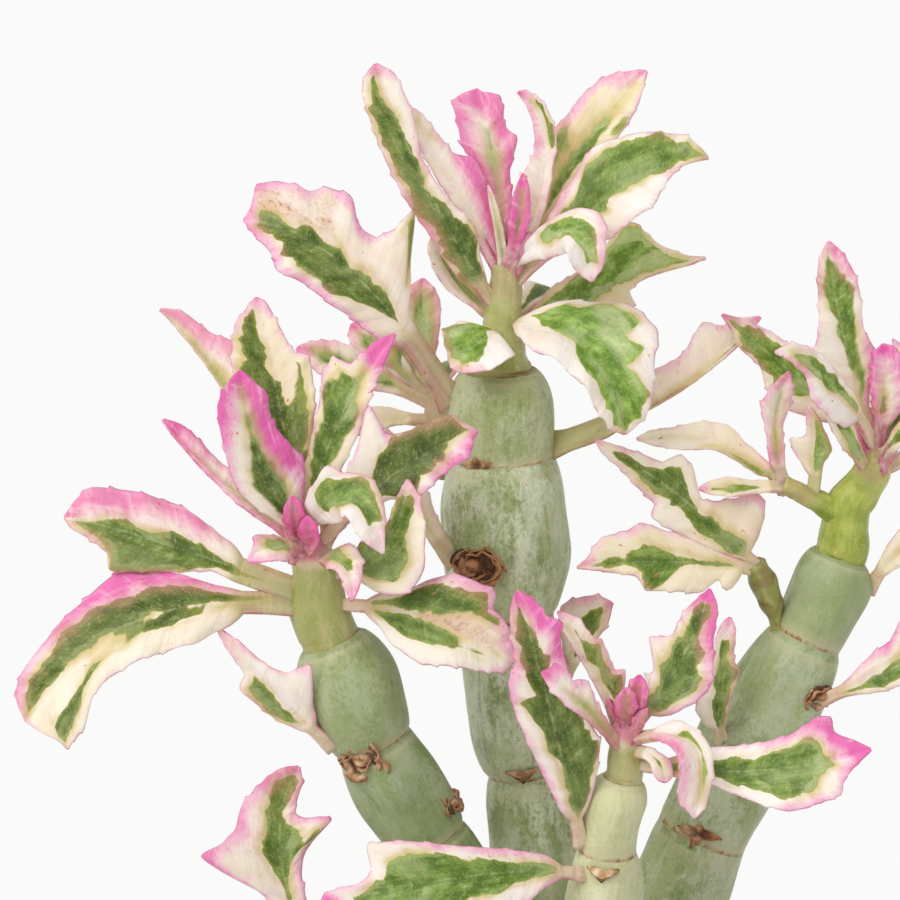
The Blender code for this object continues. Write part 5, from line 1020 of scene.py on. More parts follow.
def add_leaf(skin, shape, colours, seed):
    """A fleshy lobed blade with its channelled stalk, keel, toothed margins and veins."""
    draw = random.Random(seed)
    midrib = Midrib(shape)
    length = midrib.lengths[-1]
    blade = length - shape.stalk
    curves = [margin_curve(margin, shape.girth) for margin in (shape.left, shape.right)]
    teeth = [teeth_of(draw, blade, colours.frill) for _ in curves]
    waves = [(draw.uniform(*WAVE_LENGTH), draw.uniform(0, 6.3)) for _ in curves]
    distances = np.concatenate([
        np.arange(-SUNK, shape.stalk, STALK_STEP),
        np.arange(shape.stalk, length, ROW_STEP),
        [length],
    ])
    rows = []
    for distance in distances:
        share = (distance - shape.stalk) / blade
        halves, nears = [], []
        for curve, row_teeth in zip(curves, teeth):
            half = curve(share) if share > 0 else shape.girth * (
                1 + STALK_FLARE * max(0, 1 - distance / FLARE_LENGTH))
            stand, near = tooth_at(row_teeth, share * blade) if share > 0 else (0, 0)
            halves.append(half + stand * min(1, half / SMALL_HALF))
            nears.append(near)
        half = np.where(AROUND >= 0, *halves)
        margin = half - OUTWARD * half
        centre, along, left, up = midrib.at(distance)
        sideways, onward, above = leaf_section(shape, share, share * blade, half, waves, seed)
        green, pink, stipple, steady = leaf_zones(colours, share, blade, halves, margin)
        opening = min(1.0, max(0.0, share / OPENS_IN))
        near = np.where(AROUND >= 0, *nears) * np.clip(1 - margin / 0.5, 0, 1)
        from_tip = (1 - min(1.0, max(0.0, share))) * blade
        moves = np.outer(sideways, left) + np.outer(onward, along) + np.outer(above, up)
        rows.append({
            "points": np.array(centre) + moves,
            "vein": row_of(share * blade, AROUND * half, seed * 3.7),
            "zone": row_of(green, pink, np.minimum(margin, from_tip + 0.1)),
            "mood": row_of(distance, near, FACING),
            "mark": row_of(stipple, opening, colours.soft),
            "stalk": row_of(*colours.stalk, steady),
        })
    values = {key: np.vstack([row[key] for row in rows]) for key in rows[0]}
    skin.add(values.pop("points"), ring_faces(len(rows), len(AROUND)), **values,
             tone=(colours.bright, colours.grey, colours.warm),
             flush=(colours.pink, colours.blush, colours.heart))


def grid_of(rows, columns, point_at):
    """Rows of points and a list of tints, from what point_at gives for (share up, place from -1 to 1)."""
    grid, tint = [], []
    for r in range(rows):
        cells = [point_at(r / (rows - 1), 2 * c / (columns - 1) - 1) for c in range(columns)]
        grid.append([place for place, _ in cells])
        tint += [value for _, value in cells]
    return grid, tint


def add_plate(skin, grid, tint, thick):
    """A thin closed flake from a grid of points; tint gives each point (age, rim, depth of painted shade)."""
    rows, columns = len(grid), len(grid[0])
    cells = np.array(grid, dtype=float)
    normal = np.cross(np.gradient(cells, axis=0), np.gradient(cells, axis=1))
    normal /= np.linalg.norm(normal, axis=2, keepdims=True) + 1e-9
    points = np.concatenate([(cells + normal * side * thick / 2).reshape(-1, 3) for side in (1, -1)])
    under = rows * columns
    faces = []
    for r in range(rows - 1):
        for c in range(columns - 1):
            a = r * columns + c
            faces.append((a, a + columns, a + columns + 1, a + 1))
            faces.append((under + a, under + a + 1, under + a + columns + 1, under + a + columns))
    edge = [(0, c) for c in range(columns)] + [(r, columns - 1) for r in range(1, rows)]
    edge += [(rows - 1, c) for c in range(columns - 2, -1, -1)] + [(r, 0) for r in range(rows - 2, 0, -1)]
    loop = [r * columns + c for r, c in edge]
    for a, b in zip(loop, loop[1:] + loop[:1]):
        faces.append((a, b, under + b, under + a))
    skin.add(points, faces, paper=np.concatenate([tint, tint]))


def add_scale(skin, foot, out, side, width, height, lean, cup, seed, age):
    """A papery scale that stands out from its foot, tapers, and curls about its length."""
    over = out.cross(side).normalized()

    def point_at(v, w):
        taper = (1 - v ** 4) * (1 + 0.25 * wobble(w * 2 + seed, v * 2))
        place = foot + side * (w * width / 2 * max(0.12, taper))
        place += out * (v * height * (1 + 0.3 * wobble(w * 1.7, seed))) + over * (lean * v * v * height)
        # The third value is painted shade, darkest at the scale's foot.
        return place + over * (cup * (1 - w * w) * width * 0.3), (age, v, 0.6 * (1 - v))

    add_plate(skin, *grid_of(6, 7, point_at), SCALE_THICK)


def add_rosette(skin, foot, out, radius, seed, age):
    """Old bud scales wrapped round one another, torn at their rims, over a small dry bud."""
    draw = random.Random(seed)
    upward = (Vector((0, 0, 1)) - out * out.z).normalized()
    level = out.cross(upward)
    for k in range(SCALES + 1):
        core = k == SCALES
        share = 0.0 if core else 1 - k / SCALES
        start = math.radians(GOLDEN_ANGLE * k)
        sweep = 2 * math.pi if core else math.radians(draw.uniform(90, 210))
        tall = radius * (0.22 + 0.38 * (1 - share)) * draw.uniform(0.6, 1.35)
        flare = draw.uniform(0.2, 0.6)
        dry = age + (0.25 if core else draw.uniform(-0.3, 0.2))
        drift = level * draw.uniform(-0.3, 0.3) + upward * draw.uniform(-0.3, 0.3)

        def point_at(v, w):
            angle = start + sweep * w / 2
            torn = 1 + 0.35 * wobble(math.cos(angle) * 1.7 + seed, math.sin(angle) * 1.7, k * 0.7 + v)
            reach = radius * (0.8 * v if core else (0.25 + 0.75 * share) * (0.72 + flare * v)) * torn
            if core:
                rise = radius * 0.5 * max(0.0, 1 - 5 * v * v)
            else:
                rise = tall * v * (1 - abs(w) ** 3 * 0.7) - 0.5
            rise += 0.5 * wobble(w * 3 + seed, v * 2, k) * v + 0.45 * wobble(w * 9 + seed, v * 3, k) * v
            radial = level * (1.12 * math.cos(angle)) + upward * (0.88 * math.sin(angle))
            place = foot + radial * reach + drift * (radius * (1 - share)) + out * rise
            # The third value is painted shade, at the core's edge and at each scale's foot.
            return place, (dry, 0.0 if core else v, v if core else 0.8 * (1 - v))

        add_plate(skin, *grid_of(6, 17, point_at), ROSETTE_THICK)


def add_scar(skin, stem_name, height, azimuth, width, drop, seed, age):
    """The torn crescent that a leaf leaves on a stem, with a point below its middle."""
    draw = random.Random(seed)
    foot = on_stem(stem_name, height, azimuth, 0)[0]
    inner = on_stem(stem_name, height, azimuth, -5)[0]
    for lip in range(3):
        shift = draw.uniform(-0.3, 0.3)

        def point_at(v, w):
            turn = math.degrees(w * width / 2 / (foot - inner).length / 1.6)
            sag = drop * (1 - abs(w)) ** 1.5 * (0.35 + 0.65 * v) * (1 - 0.25 * lip)
            rise = (0.5 - v) * 0.9 * (1 - w * w) - sag + 0.3 * wobble(w * 3 + seed, v * 2 + lip)
            rise += shift * (1 - w * w)
            stand = 0.12 + 0.35 * lip * (1 - w * w) + 0.25 * abs(wobble(w * 4, seed + v * 3))
            place = on_stem(stem_name, height + rise, azimuth + turn, stand)[0]
            # The third value is painted shade on the lip that lies nearest the stem.
            return place, (age - 0.2 * lip, v, 0.0 if lip else 0.5)

        add_plate(skin, *grid_of(5, 11, point_at), SCAR_THICK)


def add_star(skin, stem_name, height, azimuth, reach, seed, age):
    """A torn scar: dry pointed flaps that spread flat on the stem from a middle darkened by painted shade."""
    draw = random.Random(seed)
    foot, out, along = on_stem(stem_name, height, azimuth, 0.15)
    level = along.cross(out).normalized()
    for k, (turn, share) in enumerate(FLAPS):
        angle = math.radians(turn + draw.uniform(-10, 10))
        way = level * math.cos(angle) + along * math.sin(angle)
        lift = (way + out * draw.uniform(0.1, 0.3)).normalized()
        side = out.cross(way).normalized()
        height = reach * share * draw.uniform(0.85, 1.1)
        add_scale(skin, foot - out * 0.2, lift, side, reach * 0.5, height, FLAP_LEAN, FLAP_CUP, seed + k,
                  age + draw.uniform(-0.3, 0.2))


class Nodes:
    """A material's node tree, with short ways to add to it."""

    def __init__(self, name):
        self.material = bpy.data.materials.new(name)
        self.material.use_nodes = True
        self.tree = self.material.node_tree
        self.shader = self.tree.nodes["Principled BSDF"]

    def link(self, value, socket):
        """Feeds a socket with another socket, a colour or a number."""
        if isinstance(value, bpy.types.NodeSocket):
            self.tree.links.new(value, socket)
        elif isinstance(value, tuple):
            socket.default_value = (*value, 1) if len(socket.default_value) == 4 else value
        else:
            socket.default_value = value

    def node(self, kind, *values, **settings):
        """A new node with its first sockets fed and its settings made."""
        node = self.tree.nodes.new("ShaderNode" + kind)
        for name, setting in settings.items():
            setattr(node, name, setting)
        for value, socket in zip(values, node.inputs):
            self.link(value, socket)
        return node

    def vector(self, name):
        """A mesh attribute's vector."""
        return self.node("Attribute", attribute_name=name).outputs["Vector"]

    def values(self, name):
        """The three values of a mesh attribute."""
        return tuple(self.node("SeparateXYZ", self.vector(name)).outputs)

    def place(self):
        """The object's own coordinates in millimetres."""
        return self.scaled(self.node("TexCoord").outputs["Object"], (1000, 1000, 1000))

    def scaled(self, vector, factors):
        return self.node("VectorMath", vector, factors, operation="MULTIPLY").outputs[0]

    def math(self, operation, *values):
        return self.node("Math", *values, operation=operation).outputs[0]

    def times(self, a, b):
        return self.math("MULTIPLY", a, b)

    def sway(self, base, shift, most):
        """A value moved up or down by a noise, which is centred on 0.5."""
        return self.math("MULTIPLY_ADD", self.math("SUBTRACT", shift, 0.5), most, base)

    def noise(self, vector, factors, detail=2.0, rough=0.5):
        """Noise about 0.5, nearly all of it between 0.25 and 0.75."""
        node = self.node("TexNoise", self.scaled(vector, factors))
        node.inputs["Scale"].default_value = 1.0
        node.inputs["Detail"].default_value = detail
        node.inputs["Roughness"].default_value = rough
        return node.outputs["Fac"]

    def ramp(self, value, low, high, to_low=0.0, to_high=1.0):
        """A smooth step from to_low at low to to_high at high."""
        node = self.node("MapRange", value, low, high, to_low, to_high, interpolation_type="SMOOTHSTEP")
        return node.outputs[0]

    def mix(self, factor, a, b):
        node = self.node("Mix", factor, data_type="RGBA")
        self.link(a, node.inputs[6])
        self.link(b, node.inputs[7])
        return node.outputs[2]

    def coat(self, skin, colour, value, low, high, most=1.0):
        """Another colour over a skin, none of it where a value is at low and the most of it at high."""
        return self.mix(self.ramp(value, low, high, 0.0, most), skin, colour)

    def bump(self, height, distance):
        node = self.node("Bump")
        node.inputs["Distance"].default_value = distance
        self.link(height, node.inputs["Height"])
        self.link(node.outputs["Normal"], self.shader.inputs["Normal"])

    def set(self, **sockets):
        """Sets the shader's sockets; a socket's name has _ for a space."""
        for name, value in sockets.items():
            self.link(value, self.shader.inputs[name.replace("_", " ")])


def rgb(red, green, blue):
    """A linear colour from one of 0 to 255 a channel."""
    shares = (channel / 255 for channel in (red, green, blue))
    return tuple(share / 12.92 if share < 11 / 255 else ((share + 0.055) / 1.055) ** 2.4 for share in shares)


class LeafMap:
    """The values that the layers of a leaf's colour share, by name."""


def leaf_values(n):
    """What each leaf's mesh says of its colours, and the noises that break them up."""
    m = LeafMap()
    m.green_depth, m.pink_depth, m.margin = n.values("zone")
    m.reach, m.tooth, m.facing = n.values("mood")
    m.bright, m.grey, m.warm = n.values("tone")
    m.pinkness, m.blush, m.heart = n.values("flush")
    m.stipple_depth, m.opening, m.soft = n.values("mark")
    m.olive, m.brown, m.steady = n.values("stalk")
    vein = n.vector("vein")
    m.along, m.aside, _ = n.values("vein")
    m.teeth = n.noise(vein, (0.24, 0.05, 1))
    m.nicks = n.noise(vein, (1.1, 0.32, 1), 3, 0.6)
    m.lobes = n.noise(vein, (0.13, 0.13, 1), 1)
    m.warps = n.noise(vein, (0.22, 0.30, 1))
    m.streaks = n.noise(vein, (0.11, 0.8, 1), 4, 0.65)
    m.patches = n.noise(vein, (0.10, 0.22, 1))
    m.mottle = n.noise(vein, (0.36, 0.36, 1), 4, 0.65)
    m.hairs = n.noise(vein, (2.8, 2.0, 1), 3, 0.75)
    m.fine = n.noise(vein, (1.3, 1.3, 1), 3, 0.6)
    m.spots = n.noise(vein, (0.95, 0.95, 1), 1)
    m.ribs = n.noise(vein, (0.5, 0.09, 1), 2, 0.6)

    shift = n.times(n.math("SUBTRACT", m.teeth, 0.5), 4.4)
    shift = n.sway(n.sway(shift, m.lobes, 3.2), m.nicks, 0.7)
    m.edge_depth = n.math("MULTIPLY_ADD", shift, m.steady, m.green_depth)
    m.is_green = n.ramp(m.edge_depth, n.math("MULTIPLY_ADD", m.soft, -1.0, 0.22),
                        n.math("MULTIPLY_ADD", m.soft, 1.8, 0.44))
    pink_edge = n.sway(n.sway(m.pink_depth, m.mottle, 2.6), m.teeth, 2.6)
    m.pink_edge = n.sway(pink_edge, m.lobes, 3.4)
    return m


def leaf_green(n, m):
    """Clouded green, netted with pale veins, grey-green near its edge and dusky beside the pink, flecked
    with painted highlights.
    """
    # The lighter greens of a bright leaf are partly its own tone and partly painted light for leaves in
    # shade.
    dark = n.mix(m.bright, rgb(60, 78, 18), rgb(92, 130, 30))
    middle = n.mix(m.bright, rgb(104, 120, 52), rgb(152, 184, 84))
    pale = n.mix(m.bright, rgb(168, 174, 130), rgb(208, 216, 172))
    clouds = n.math("MULTIPLY_ADD", m.streaks, 0.4, n.times(m.mottle, 0.6))
    green = n.mix(n.ramp(clouds, 0.40, 0.60), dark, middle)
    green = n.coat(green, n.mix(m.bright, middle, pale), m.patches, 0.46, 0.66, 0.5)
    netting = n.math("SINE", n.times(n.sway(m.along, m.warps, 3.0), 2.03))
    netting = n.times(n.ramp(netting, 0.94, 1.0), n.ramp(m.mottle, 0.42, 0.66, 0.0, 0.28))
    green = n.mix(netting, green, pale)
    green = n.coat(green, pale, clouds, 0.55, 0.68, 0.5)
    fringe = n.times(n.ramp(m.patches, 0.42, 0.62, -0.6, 3.4), m.grey)
    is_grey = n.ramp(n.math("SUBTRACT", n.sway(m.edge_depth, m.mottle, 1.8), fringe), 0.35, -0.25)
    green = n.mix(n.times(is_grey, 0.8), green, n.mix(m.mottle, middle, pale))
    rim = n.ramp(m.edge_depth, 0.35, 1.1, 1.0, 0.0)
    green = n.mix(n.times(rim, 0.6), green, n.mix(m.bright, rgb(140, 148, 50), rgb(156, 172, 58)))

    dusk = n.times(n.ramp(m.pink_edge, -1.5, 1.0), n.ramp(m.edge_depth, 3.2, 0.3, 0.15, 0.85))
    dusk = n.times(dusk, n.ramp(m.steady, 0.2, 0.8, 0.3, 1.0))
    green = n.mix(dusk, green, n.mix(m.pinkness, rgb(164, 146, 84), rgb(166, 126, 98)))
    is_rib = n.times(n.ramp(n.math("ABSOLUTE", m.aside), 0.08, 0.28, 1.0, 0.0),
                     n.ramp(m.mottle, 0.42, 0.62, 0.05, 0.5))
    green = n.mix(is_rib, green, rgb(188, 192, 138))
    # Pale specks are painted highlights, glints of light off the fine bumps; the dark specks are the leaf's
    # grain.
    green = n.coat(green, rgb(200, 208, 172), m.hairs, 0.54, 0.72, 0.45)
    return n.coat(green, rgb(66, 82, 24), m.hairs, 0.46, 0.30, 0.4)


def leaf_ground(n, m):
    """Cream, warmer in patches, and pink from the margins inward, tan where it meets the green."""
    cream = n.mix(m.warm, rgb(250, 239, 232), rgb(241, 224, 184))
    cream = n.coat(cream, n.mix(m.warm, rgb(243, 215, 196), rgb(229, 199, 150)), m.patches, 0.40, 0.66, 0.5)
    cream = n.coat(cream, rgb(251, 244, 234), m.mottle, 0.5, 0.7, 0.4)
    pale_pink = n.mix(m.pinkness, rgb(246, 210, 202), rgb(246, 190, 208))
    deep_pink = n.mix(m.pinkness, rgb(238, 172, 184), rgb(228, 98, 172))
    pink = n.mix(n.ramp(m.pink_edge, 0.3, 2.8), pale_pink, deep_pink)
    pink = n.coat(pink, rgb(248, 208, 216), m.streaks, 0.5, 0.7, 0.5)
    pink = n.coat(pink, rgb(248, 214, 220), m.ribs, 0.58, 0.72, 0.35)
    pink = n.coat(pink, n.mix(m.pinkness, rgb(222, 146, 152), rgb(208, 76, 136)), m.fine, 0.46, 0.3, 0.45)
    blushing = n.times(n.ramp(m.mottle, 0.42, 0.68), m.blush)
    is_pink = n.math("MAXIMUM", n.ramp(m.pink_edge, -0.7, 0.8), blushing)
    halo = n.times(n.ramp(m.edge_depth, -1.3, 0.25), n.ramp(m.patches, 0.38, 0.62, 0.15, 0.8))
    return n.mix(halo, n.mix(is_pink, cream, pink), n.mix(is_pink, rgb(204, 186, 118), rgb(188, 152, 112)))


def leaf_marks(n, m, colour):
    """Stipple, a paler underside, the stalk, the magenta foot, and the fine line and teeth of the margin."""
    stippling = n.times(n.ramp(m.stipple_depth, -0.8, 1.6), n.ramp(m.is_green, 1.0, 0.2))
    stippling = n.times(stippling, n.ramp(m.patches, 0.36, 0.5, 0.3, 1.0))
    colour = n.mix(n.times(stippling, 0.65), colour, rgb(214, 172, 146))
    colour = n.mix(n.times(stippling, n.ramp(m.fine, 0.48, 0.66, 0.0, 0.7)), colour, rgb(172, 122, 84))
    under = n.ramp(m.facing, -0.5, 0.2, 0.38, 0.0)
    colour = n.mix(under, colour, n.mix(m.is_green, rgb(240, 208, 188), rgb(168, 176, 118)))

    stalk = n.mix(m.olive, rgb(232, 190, 172), rgb(164, 170, 84))
    stalk = n.coat(stalk, n.mix(m.olive, rgb(240, 214, 196), rgb(196, 196, 130)), m.streaks, 0.42, 0.6, 0.6)
    stalk = n.mix(n.times(m.brown, n.ramp(m.mottle, 0.3, 0.55, 0.5, 1.0)), stalk, rgb(124, 98, 56))
    colour = n.coat(colour, stalk, m.opening, 0.95, 0.05, 0.75)
    foot = n.times(n.times(n.ramp(m.reach, 11.0, 2.0), m.heart), n.ramp(m.streaks, 0.34, 0.60, 1.0, 0.55))
    colour = n.mix(foot, colour, n.mix(n.ramp(m.fine, 0.4, 0.6), rgb(186, 78, 98), rgb(226, 126, 158)))

    line = n.times(n.ramp(m.margin, 0.26, 0.08), n.ramp(m.mottle, 0.42, 0.6, 0.05, 0.6))
    colour = n.mix(line, colour, n.mix(m.pinkness, rgb(206, 148, 128), rgb(200, 70, 124)))
    colour = n.mix(n.times(n.ramp(m.tooth, 0.6, 1.0), 0.75), colour, rgb(160, 52, 80))
    return n.coat(colour, rgb(196, 112, 60), m.spots, 0.765, 0.785, 0.8)


def leaf_material():
    """Green, grey-green, cream and pink layers of a variegated leaf, with edges that follow the veins."""
    n = Nodes("variegated leaf")
    m = leaf_values(n)
    colour = leaf_marks(n, m, n.mix(m.is_green, leaf_ground(n, m), leaf_green(n, m)))
    n.set(Base_Color=colour, Roughness=n.ramp(m.hairs, 0.3, 0.7, 0.36, 0.52), IOR=1.4)
    n.set(Subsurface_Weight=0.25, Subsurface_Radius=(0.004, 0.003, 0.002), Subsurface_Scale=0.8)
    relief = n.math("MULTIPLY_ADD", m.hairs, 0.35, n.times(m.streaks, 0.9))
    n.bump(n.math("MULTIPLY_ADD", m.ribs, 1.2, relief), 0.0003)
    return n.material


def stem_material():
    """Grey-green skin under a pale bloom, with soft lengthwise streaks, the pale ones partly painted
    highlights, and a brown line at each joint.
    """
    n = Nodes("stem skin")
    pale, within, below_top = n.values("rise")
    place = n.vector("place")
    streaks = n.noise(place, (0.30, 0.30, 0.05), 3, 0.6)
    clouds = n.noise(place, (0.12, 0.12, 0.07))
    bloom = n.noise(place, (0.16, 0.16, 0.10), 4, 0.7)
    grain = n.noise(place, (2.6, 2.6, 2.0), 3, 0.7)
    dots = n.noise(place, (1.5, 1.5, 1.2), 2, 0.7)
    specks = n.noise(place, (0.8, 0.8, 0.6), 1)
    cracks = n.noise(place, (0.9, 0.9, 0.22), 3, 0.6)
    crinkles = n.noise(place, (0.85, 0.85, 0.62), 3, 0.6)
    crinkles = n.math("ABSOLUTE", n.math("SUBTRACT", crinkles, 0.5))

    skin = n.mix(n.ramp(clouds, 0.36, 0.64), rgb(150, 164, 104), rgb(184, 193, 143))
    skin = n.coat(skin, rgb(212, 218, 190), bloom, 0.42, 0.62, 0.85)
    # Pale lengthwise streaks: partly bloom, partly painted highlights.
    skin = n.coat(skin, rgb(206, 208, 178), streaks, 0.52, 0.70, 0.7)
    skin = n.coat(skin, rgb(112, 130, 68), streaks, 0.45, 0.30, 0.6)
    netted = n.times(n.ramp(crinkles, 0.055, 0.0), n.ramp(bloom, 0.36, 0.60, 0.1, 0.65))
    skin = n.mix(netted, skin, rgb(220, 222, 196))
    meshes = n.times(n.ramp(crinkles, 0.07, 0.16), n.ramp(clouds, 0.3, 0.6, 0.5, 0.15))
    skin = n.mix(meshes, skin, rgb(100, 118, 62))
    young = n.times(n.ramp(below_top, 15.5, 13.5), 0.35)
    skin = n.mix(young, skin, rgb(162, 170, 104))
    skin = n.coat(skin, rgb(212, 214, 186), dots, 0.60, 0.76, 0.35)
    skin = n.coat(skin, rgb(214, 218, 192), grain, 0.53, 0.75, 0.5)
    skin = n.coat(skin, rgb(92, 106, 52), grain, 0.42, 0.28, 0.35)
    skin = n.coat(skin, rgb(188, 138, 80), specks, 0.765, 0.785, 0.8)
    # Paler or darker skin for each stem: partly its own tone, partly painted light and shade.
    skin = n.coat(skin, n.mix(streaks, rgb(96, 122, 62), rgb(146, 160, 108)), pale, 0.0, -1.0, 0.85)
    skin = n.coat(skin, n.mix(streaks, rgb(212, 210, 156), rgb(238, 232, 198)), pale, 0.0, 1.0, 0.85)
    waist = n.math("MINIMUM", within, n.math("SUBTRACT", 1.0, within))
    ring = n.sway(waist, cracks, 0.06)
    skin = n.coat(skin, rgb(196, 190, 150), ring, 0.13, 0.03, 0.55)
    dry = n.times(n.ramp(ring, 0.030, 0.006), n.ramp(streaks, 0.38, 0.56, 0.35, 0.95))
    skin = n.mix(dry, skin, n.mix(n.ramp(cracks, 0.4, 0.6), rgb(136, 96, 58), rgb(184, 148, 106)))

    n.set(Base_Color=skin, Roughness=n.ramp(grain, 0.3, 0.7, 0.34, 0.52), IOR=1.42)
    n.set(Subsurface_Weight=0.08, Subsurface_Radius=(0.004, 0.003, 0.002), Subsurface_Scale=0.6)
    relief = n.math("MULTIPLY_ADD", grain, 0.4, n.times(streaks, 1.2))
    n.bump(n.math("MULTIPLY_ADD", bloom, 1.4, relief), 0.0003)
    return n.material


def neck_material():
    """Young skin, olive to yellow-green, pale and pink where the newest leaves clasp it."""
    n = Nodes("young skin")
    groove, _, below_top = n.values("rise")
    olive, rosy, brown = n.values("hue")
    place = n.vector("place")
    streaks = n.noise(place, (0.7, 0.7, 0.12), 3, 0.6)
    clouds = n.noise(place, (0.3, 0.3, 0.25))
    grain = n.noise(place, (3.0, 3.0, 2.2), 2, 0.7)
    skin = n.mix(n.ramp(clouds, 0.35, 0.65), n.mix(olive, rgb(166, 168, 106), rgb(138, 158, 44)),
                 n.mix(olive, rgb(194, 190, 138), rgb(172, 182, 74)))
    skin = n.coat(skin, n.mix(olive, rgb(218, 208, 168), rgb(198, 198, 94)), streaks, 0.5, 0.7, 0.5)
    skin = n.coat(skin, n.mix(olive, rgb(150, 158, 88), rgb(128, 144, 40)), streaks, 0.46, 0.3, 0.5)
    skin = n.coat(skin, rgb(238, 232, 208), grain, 0.55, 0.75, 0.3)
    skin = n.coat(skin, rgb(186, 134, 96), groove, 0.45, 0.85, 0.5)
    skin = n.mix(n.times(brown, n.ramp(clouds, 0.40, 0.60, 0.2, 0.9)), skin, rgb(124, 96, 54))
    tip = n.sway(below_top, clouds, 3.0)
    skin = n.mix(n.times(rosy, n.ramp(tip, 8.0, 6.0, 0.0, 0.6)), skin, rgb(236, 206, 188))
    skin = n.mix(n.times(rosy, n.ramp(tip, 6.5, 4.5, 0.0, 0.9)), skin,
                 n.mix(streaks, rgb(186, 90, 110), rgb(230, 140, 170)))
    n.set(Base_Color=skin, Roughness=0.36, IOR=1.42)
    n.set(Subsurface_Weight=0.1, Subsurface_Radius=(0.004, 0.003, 0.002), Subsurface_Scale=0.6)
    n.bump(n.math("MULTIPLY_ADD", grain, 0.4, streaks), 0.0002)
    return n.material


def paper_material():
    """Dry brown scales, tan at their rims and darkened by painted shade where they meet."""
    n = Nodes("dry scale")
    age, rim, painted_gap_shade = n.values("paper")
    place = n.place()
    fibres = n.noise(place, (1.6, 1.6, 0.8), 4, 0.7)
    blots = n.noise(place, (0.7, 0.7, 0.7))
    old = n.mix(n.ramp(blots, 0.35, 0.65), rgb(112, 58, 28), rgb(182, 110, 62))
    young = n.mix(n.ramp(blots, 0.35, 0.65), rgb(186, 136, 92), rgb(236, 208, 170))
    skin = n.mix(age, young, old)
    skin = n.coat(skin, n.mix(age, rgb(150, 100, 62), rgb(206, 146, 92)), rim, 0.7, 1.0, 0.7)
    skin = n.coat(skin, rgb(222, 190, 150), fibres, 0.55, 0.75, 0.4)
    skin = n.coat(skin, rgb(62, 36, 20), fibres, 0.42, 0.28, 0.6)
    # Painted shade darkens the scales where they meet and overlap.
    skin = n.coat(skin, rgb(58, 32, 18), painted_gap_shade, 0.25, 0.55, 0.8)
    n.set(Base_Color=skin, Roughness=0.8)
    n.bump(fibres, 0.0004)
    return n.material


def pot_material():
    """Moulded terracotta-coloured plastic with a faint grain and rubbed dust."""
    n = Nodes("moulded plastic")
    place = n.place()
    grain = n.noise(place, (1.4, 1.4, 1.4), 3, 0.6)
    clouds = n.noise(place, (0.03, 0.03, 0.05), 3)
    rubs = n.noise(place, (0.05, 0.05, 0.9), 3, 0.7)
    skin = n.mix(n.ramp(clouds, 0.35, 0.65), rgb(150, 82, 56), rgb(168, 96, 68))
    skin = n.coat(skin, rgb(196, 140, 112), rubs, 0.56, 0.74, 0.25)
    skin = n.coat(skin, rgb(120, 62, 42), grain, 0.6, 0.75, 0.2)
    n.set(Base_Color=skin, Roughness=n.ramp(rubs, 0.35, 0.65, 0.38, 0.55))
    n.bump(grain, 0.00008)
    return n.material


def soil_material():
    """Peaty potting mix."""
    n = Nodes("potting mix")
    place = n.place()
    crumbs = n.noise(place, (0.5, 0.5, 0.5), 6, 0.7)
    fine = n.noise(place, (2.2, 2.2, 2.2), 4, 0.7)
    skin = n.mix(n.ramp(crumbs, 0.38, 0.62), rgb(42, 30, 22), rgb(88, 66, 48))
    skin = n.coat(skin, rgb(132, 104, 76), fine, 0.6, 0.75, 0.7)
    n.set(Base_Color=skin, Roughness=0.95)
    n.bump(n.math("ADD", crumbs, fine), 0.0012)
    return n.material


def grit_material():
    """Bark, coir crumbs and white perlite; each grain's own shade comes with it."""
    n = Nodes("grit")
    shade, white, _ = n.values("grain")
    fine = n.noise(n.place(), (2.0, 2.0, 2.0), 4, 0.7)
    skin = n.mix(white, n.mix(shade, rgb(44, 30, 20), rgb(120, 88, 60)), rgb(222, 218, 208))
    skin = n.coat(skin, rgb(150, 124, 96), fine, 0.5, 0.72, 0.3)
    n.set(Base_Color=skin, Roughness=0.92)
    n.bump(fine, 0.0005)
    return n.material


def repaint(node, material):
    """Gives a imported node's own slots another material."""
    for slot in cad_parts[node].material_slots:
        slot.material = material


def build_grit():
    """Crumbs scattered over the soil as far as the pot's wall, seeded."""
    draw = random.Random(11)
    skin = Skin()
    base = [Vector((0, 0, 1)), Vector((0, 0, -1))]
    base += [Vector((math.cos(k * 1.2566), math.sin(k * 1.2566), 0.45 if k % 2 else -0.45)) for k in range(5)]
    faces = [(0, 2 + k, 2 + (k + 1) % 5) for k in range(5)] + [(1, 2 + (k + 1) % 5, 2 + k) for k in range(5)]
    for _ in range(GRAINS):
        away = POT_INNER_RADIUS * math.sqrt(draw.random())
        angle = draw.uniform(0, 2 * math.pi)
        size = draw.uniform(0.5, 1.9) * draw.uniform(0.6, 1.0)
        centre = Vector((away * math.cos(angle), away * math.sin(angle), SOIL_LEVEL + size * 0.25))
        stretch = Vector((draw.uniform(0.7, 1.6), draw.uniform(0.7, 1.3), draw.uniform(0.5, 0.9)))
        turn = draw.uniform(0, 6.28)
        grain = []
        for corner in base:
            rough = 1 + 0.25 * draw.uniform(-1, 1)
            x, y, z = (place * wider * size * rough for place, wider in zip(corner, stretch))
            grain.append(centre + Vector((x * math.cos(turn) - y * math.sin(turn),
                                          x * math.sin(turn) + y * math.cos(turn), z)))
        white = 1.0 if draw.random() < PERLITE_SHARE else 0.0
        skin.add(grain, faces, grain=(draw.random(), white, 0))
    piece = skin.make("soil_grit", grit_material())
    piece.data.shade_flat()


def build_stems(skin_material):
    for name, stem in STEMS.items():
        skin = Skin()
        add_stem(skin, name, stem)
        skin.make(name + "_skin", skin_material, [name])


def sunk(knots):
    """The same neck, begun further inside what carries it."""
    (first, radius), (second, _) = knots[:2]
    back = (Vector(first) - Vector(second)).normalized() * STALK_SUNK
    return [(Vector(first) + back, radius), *knots]


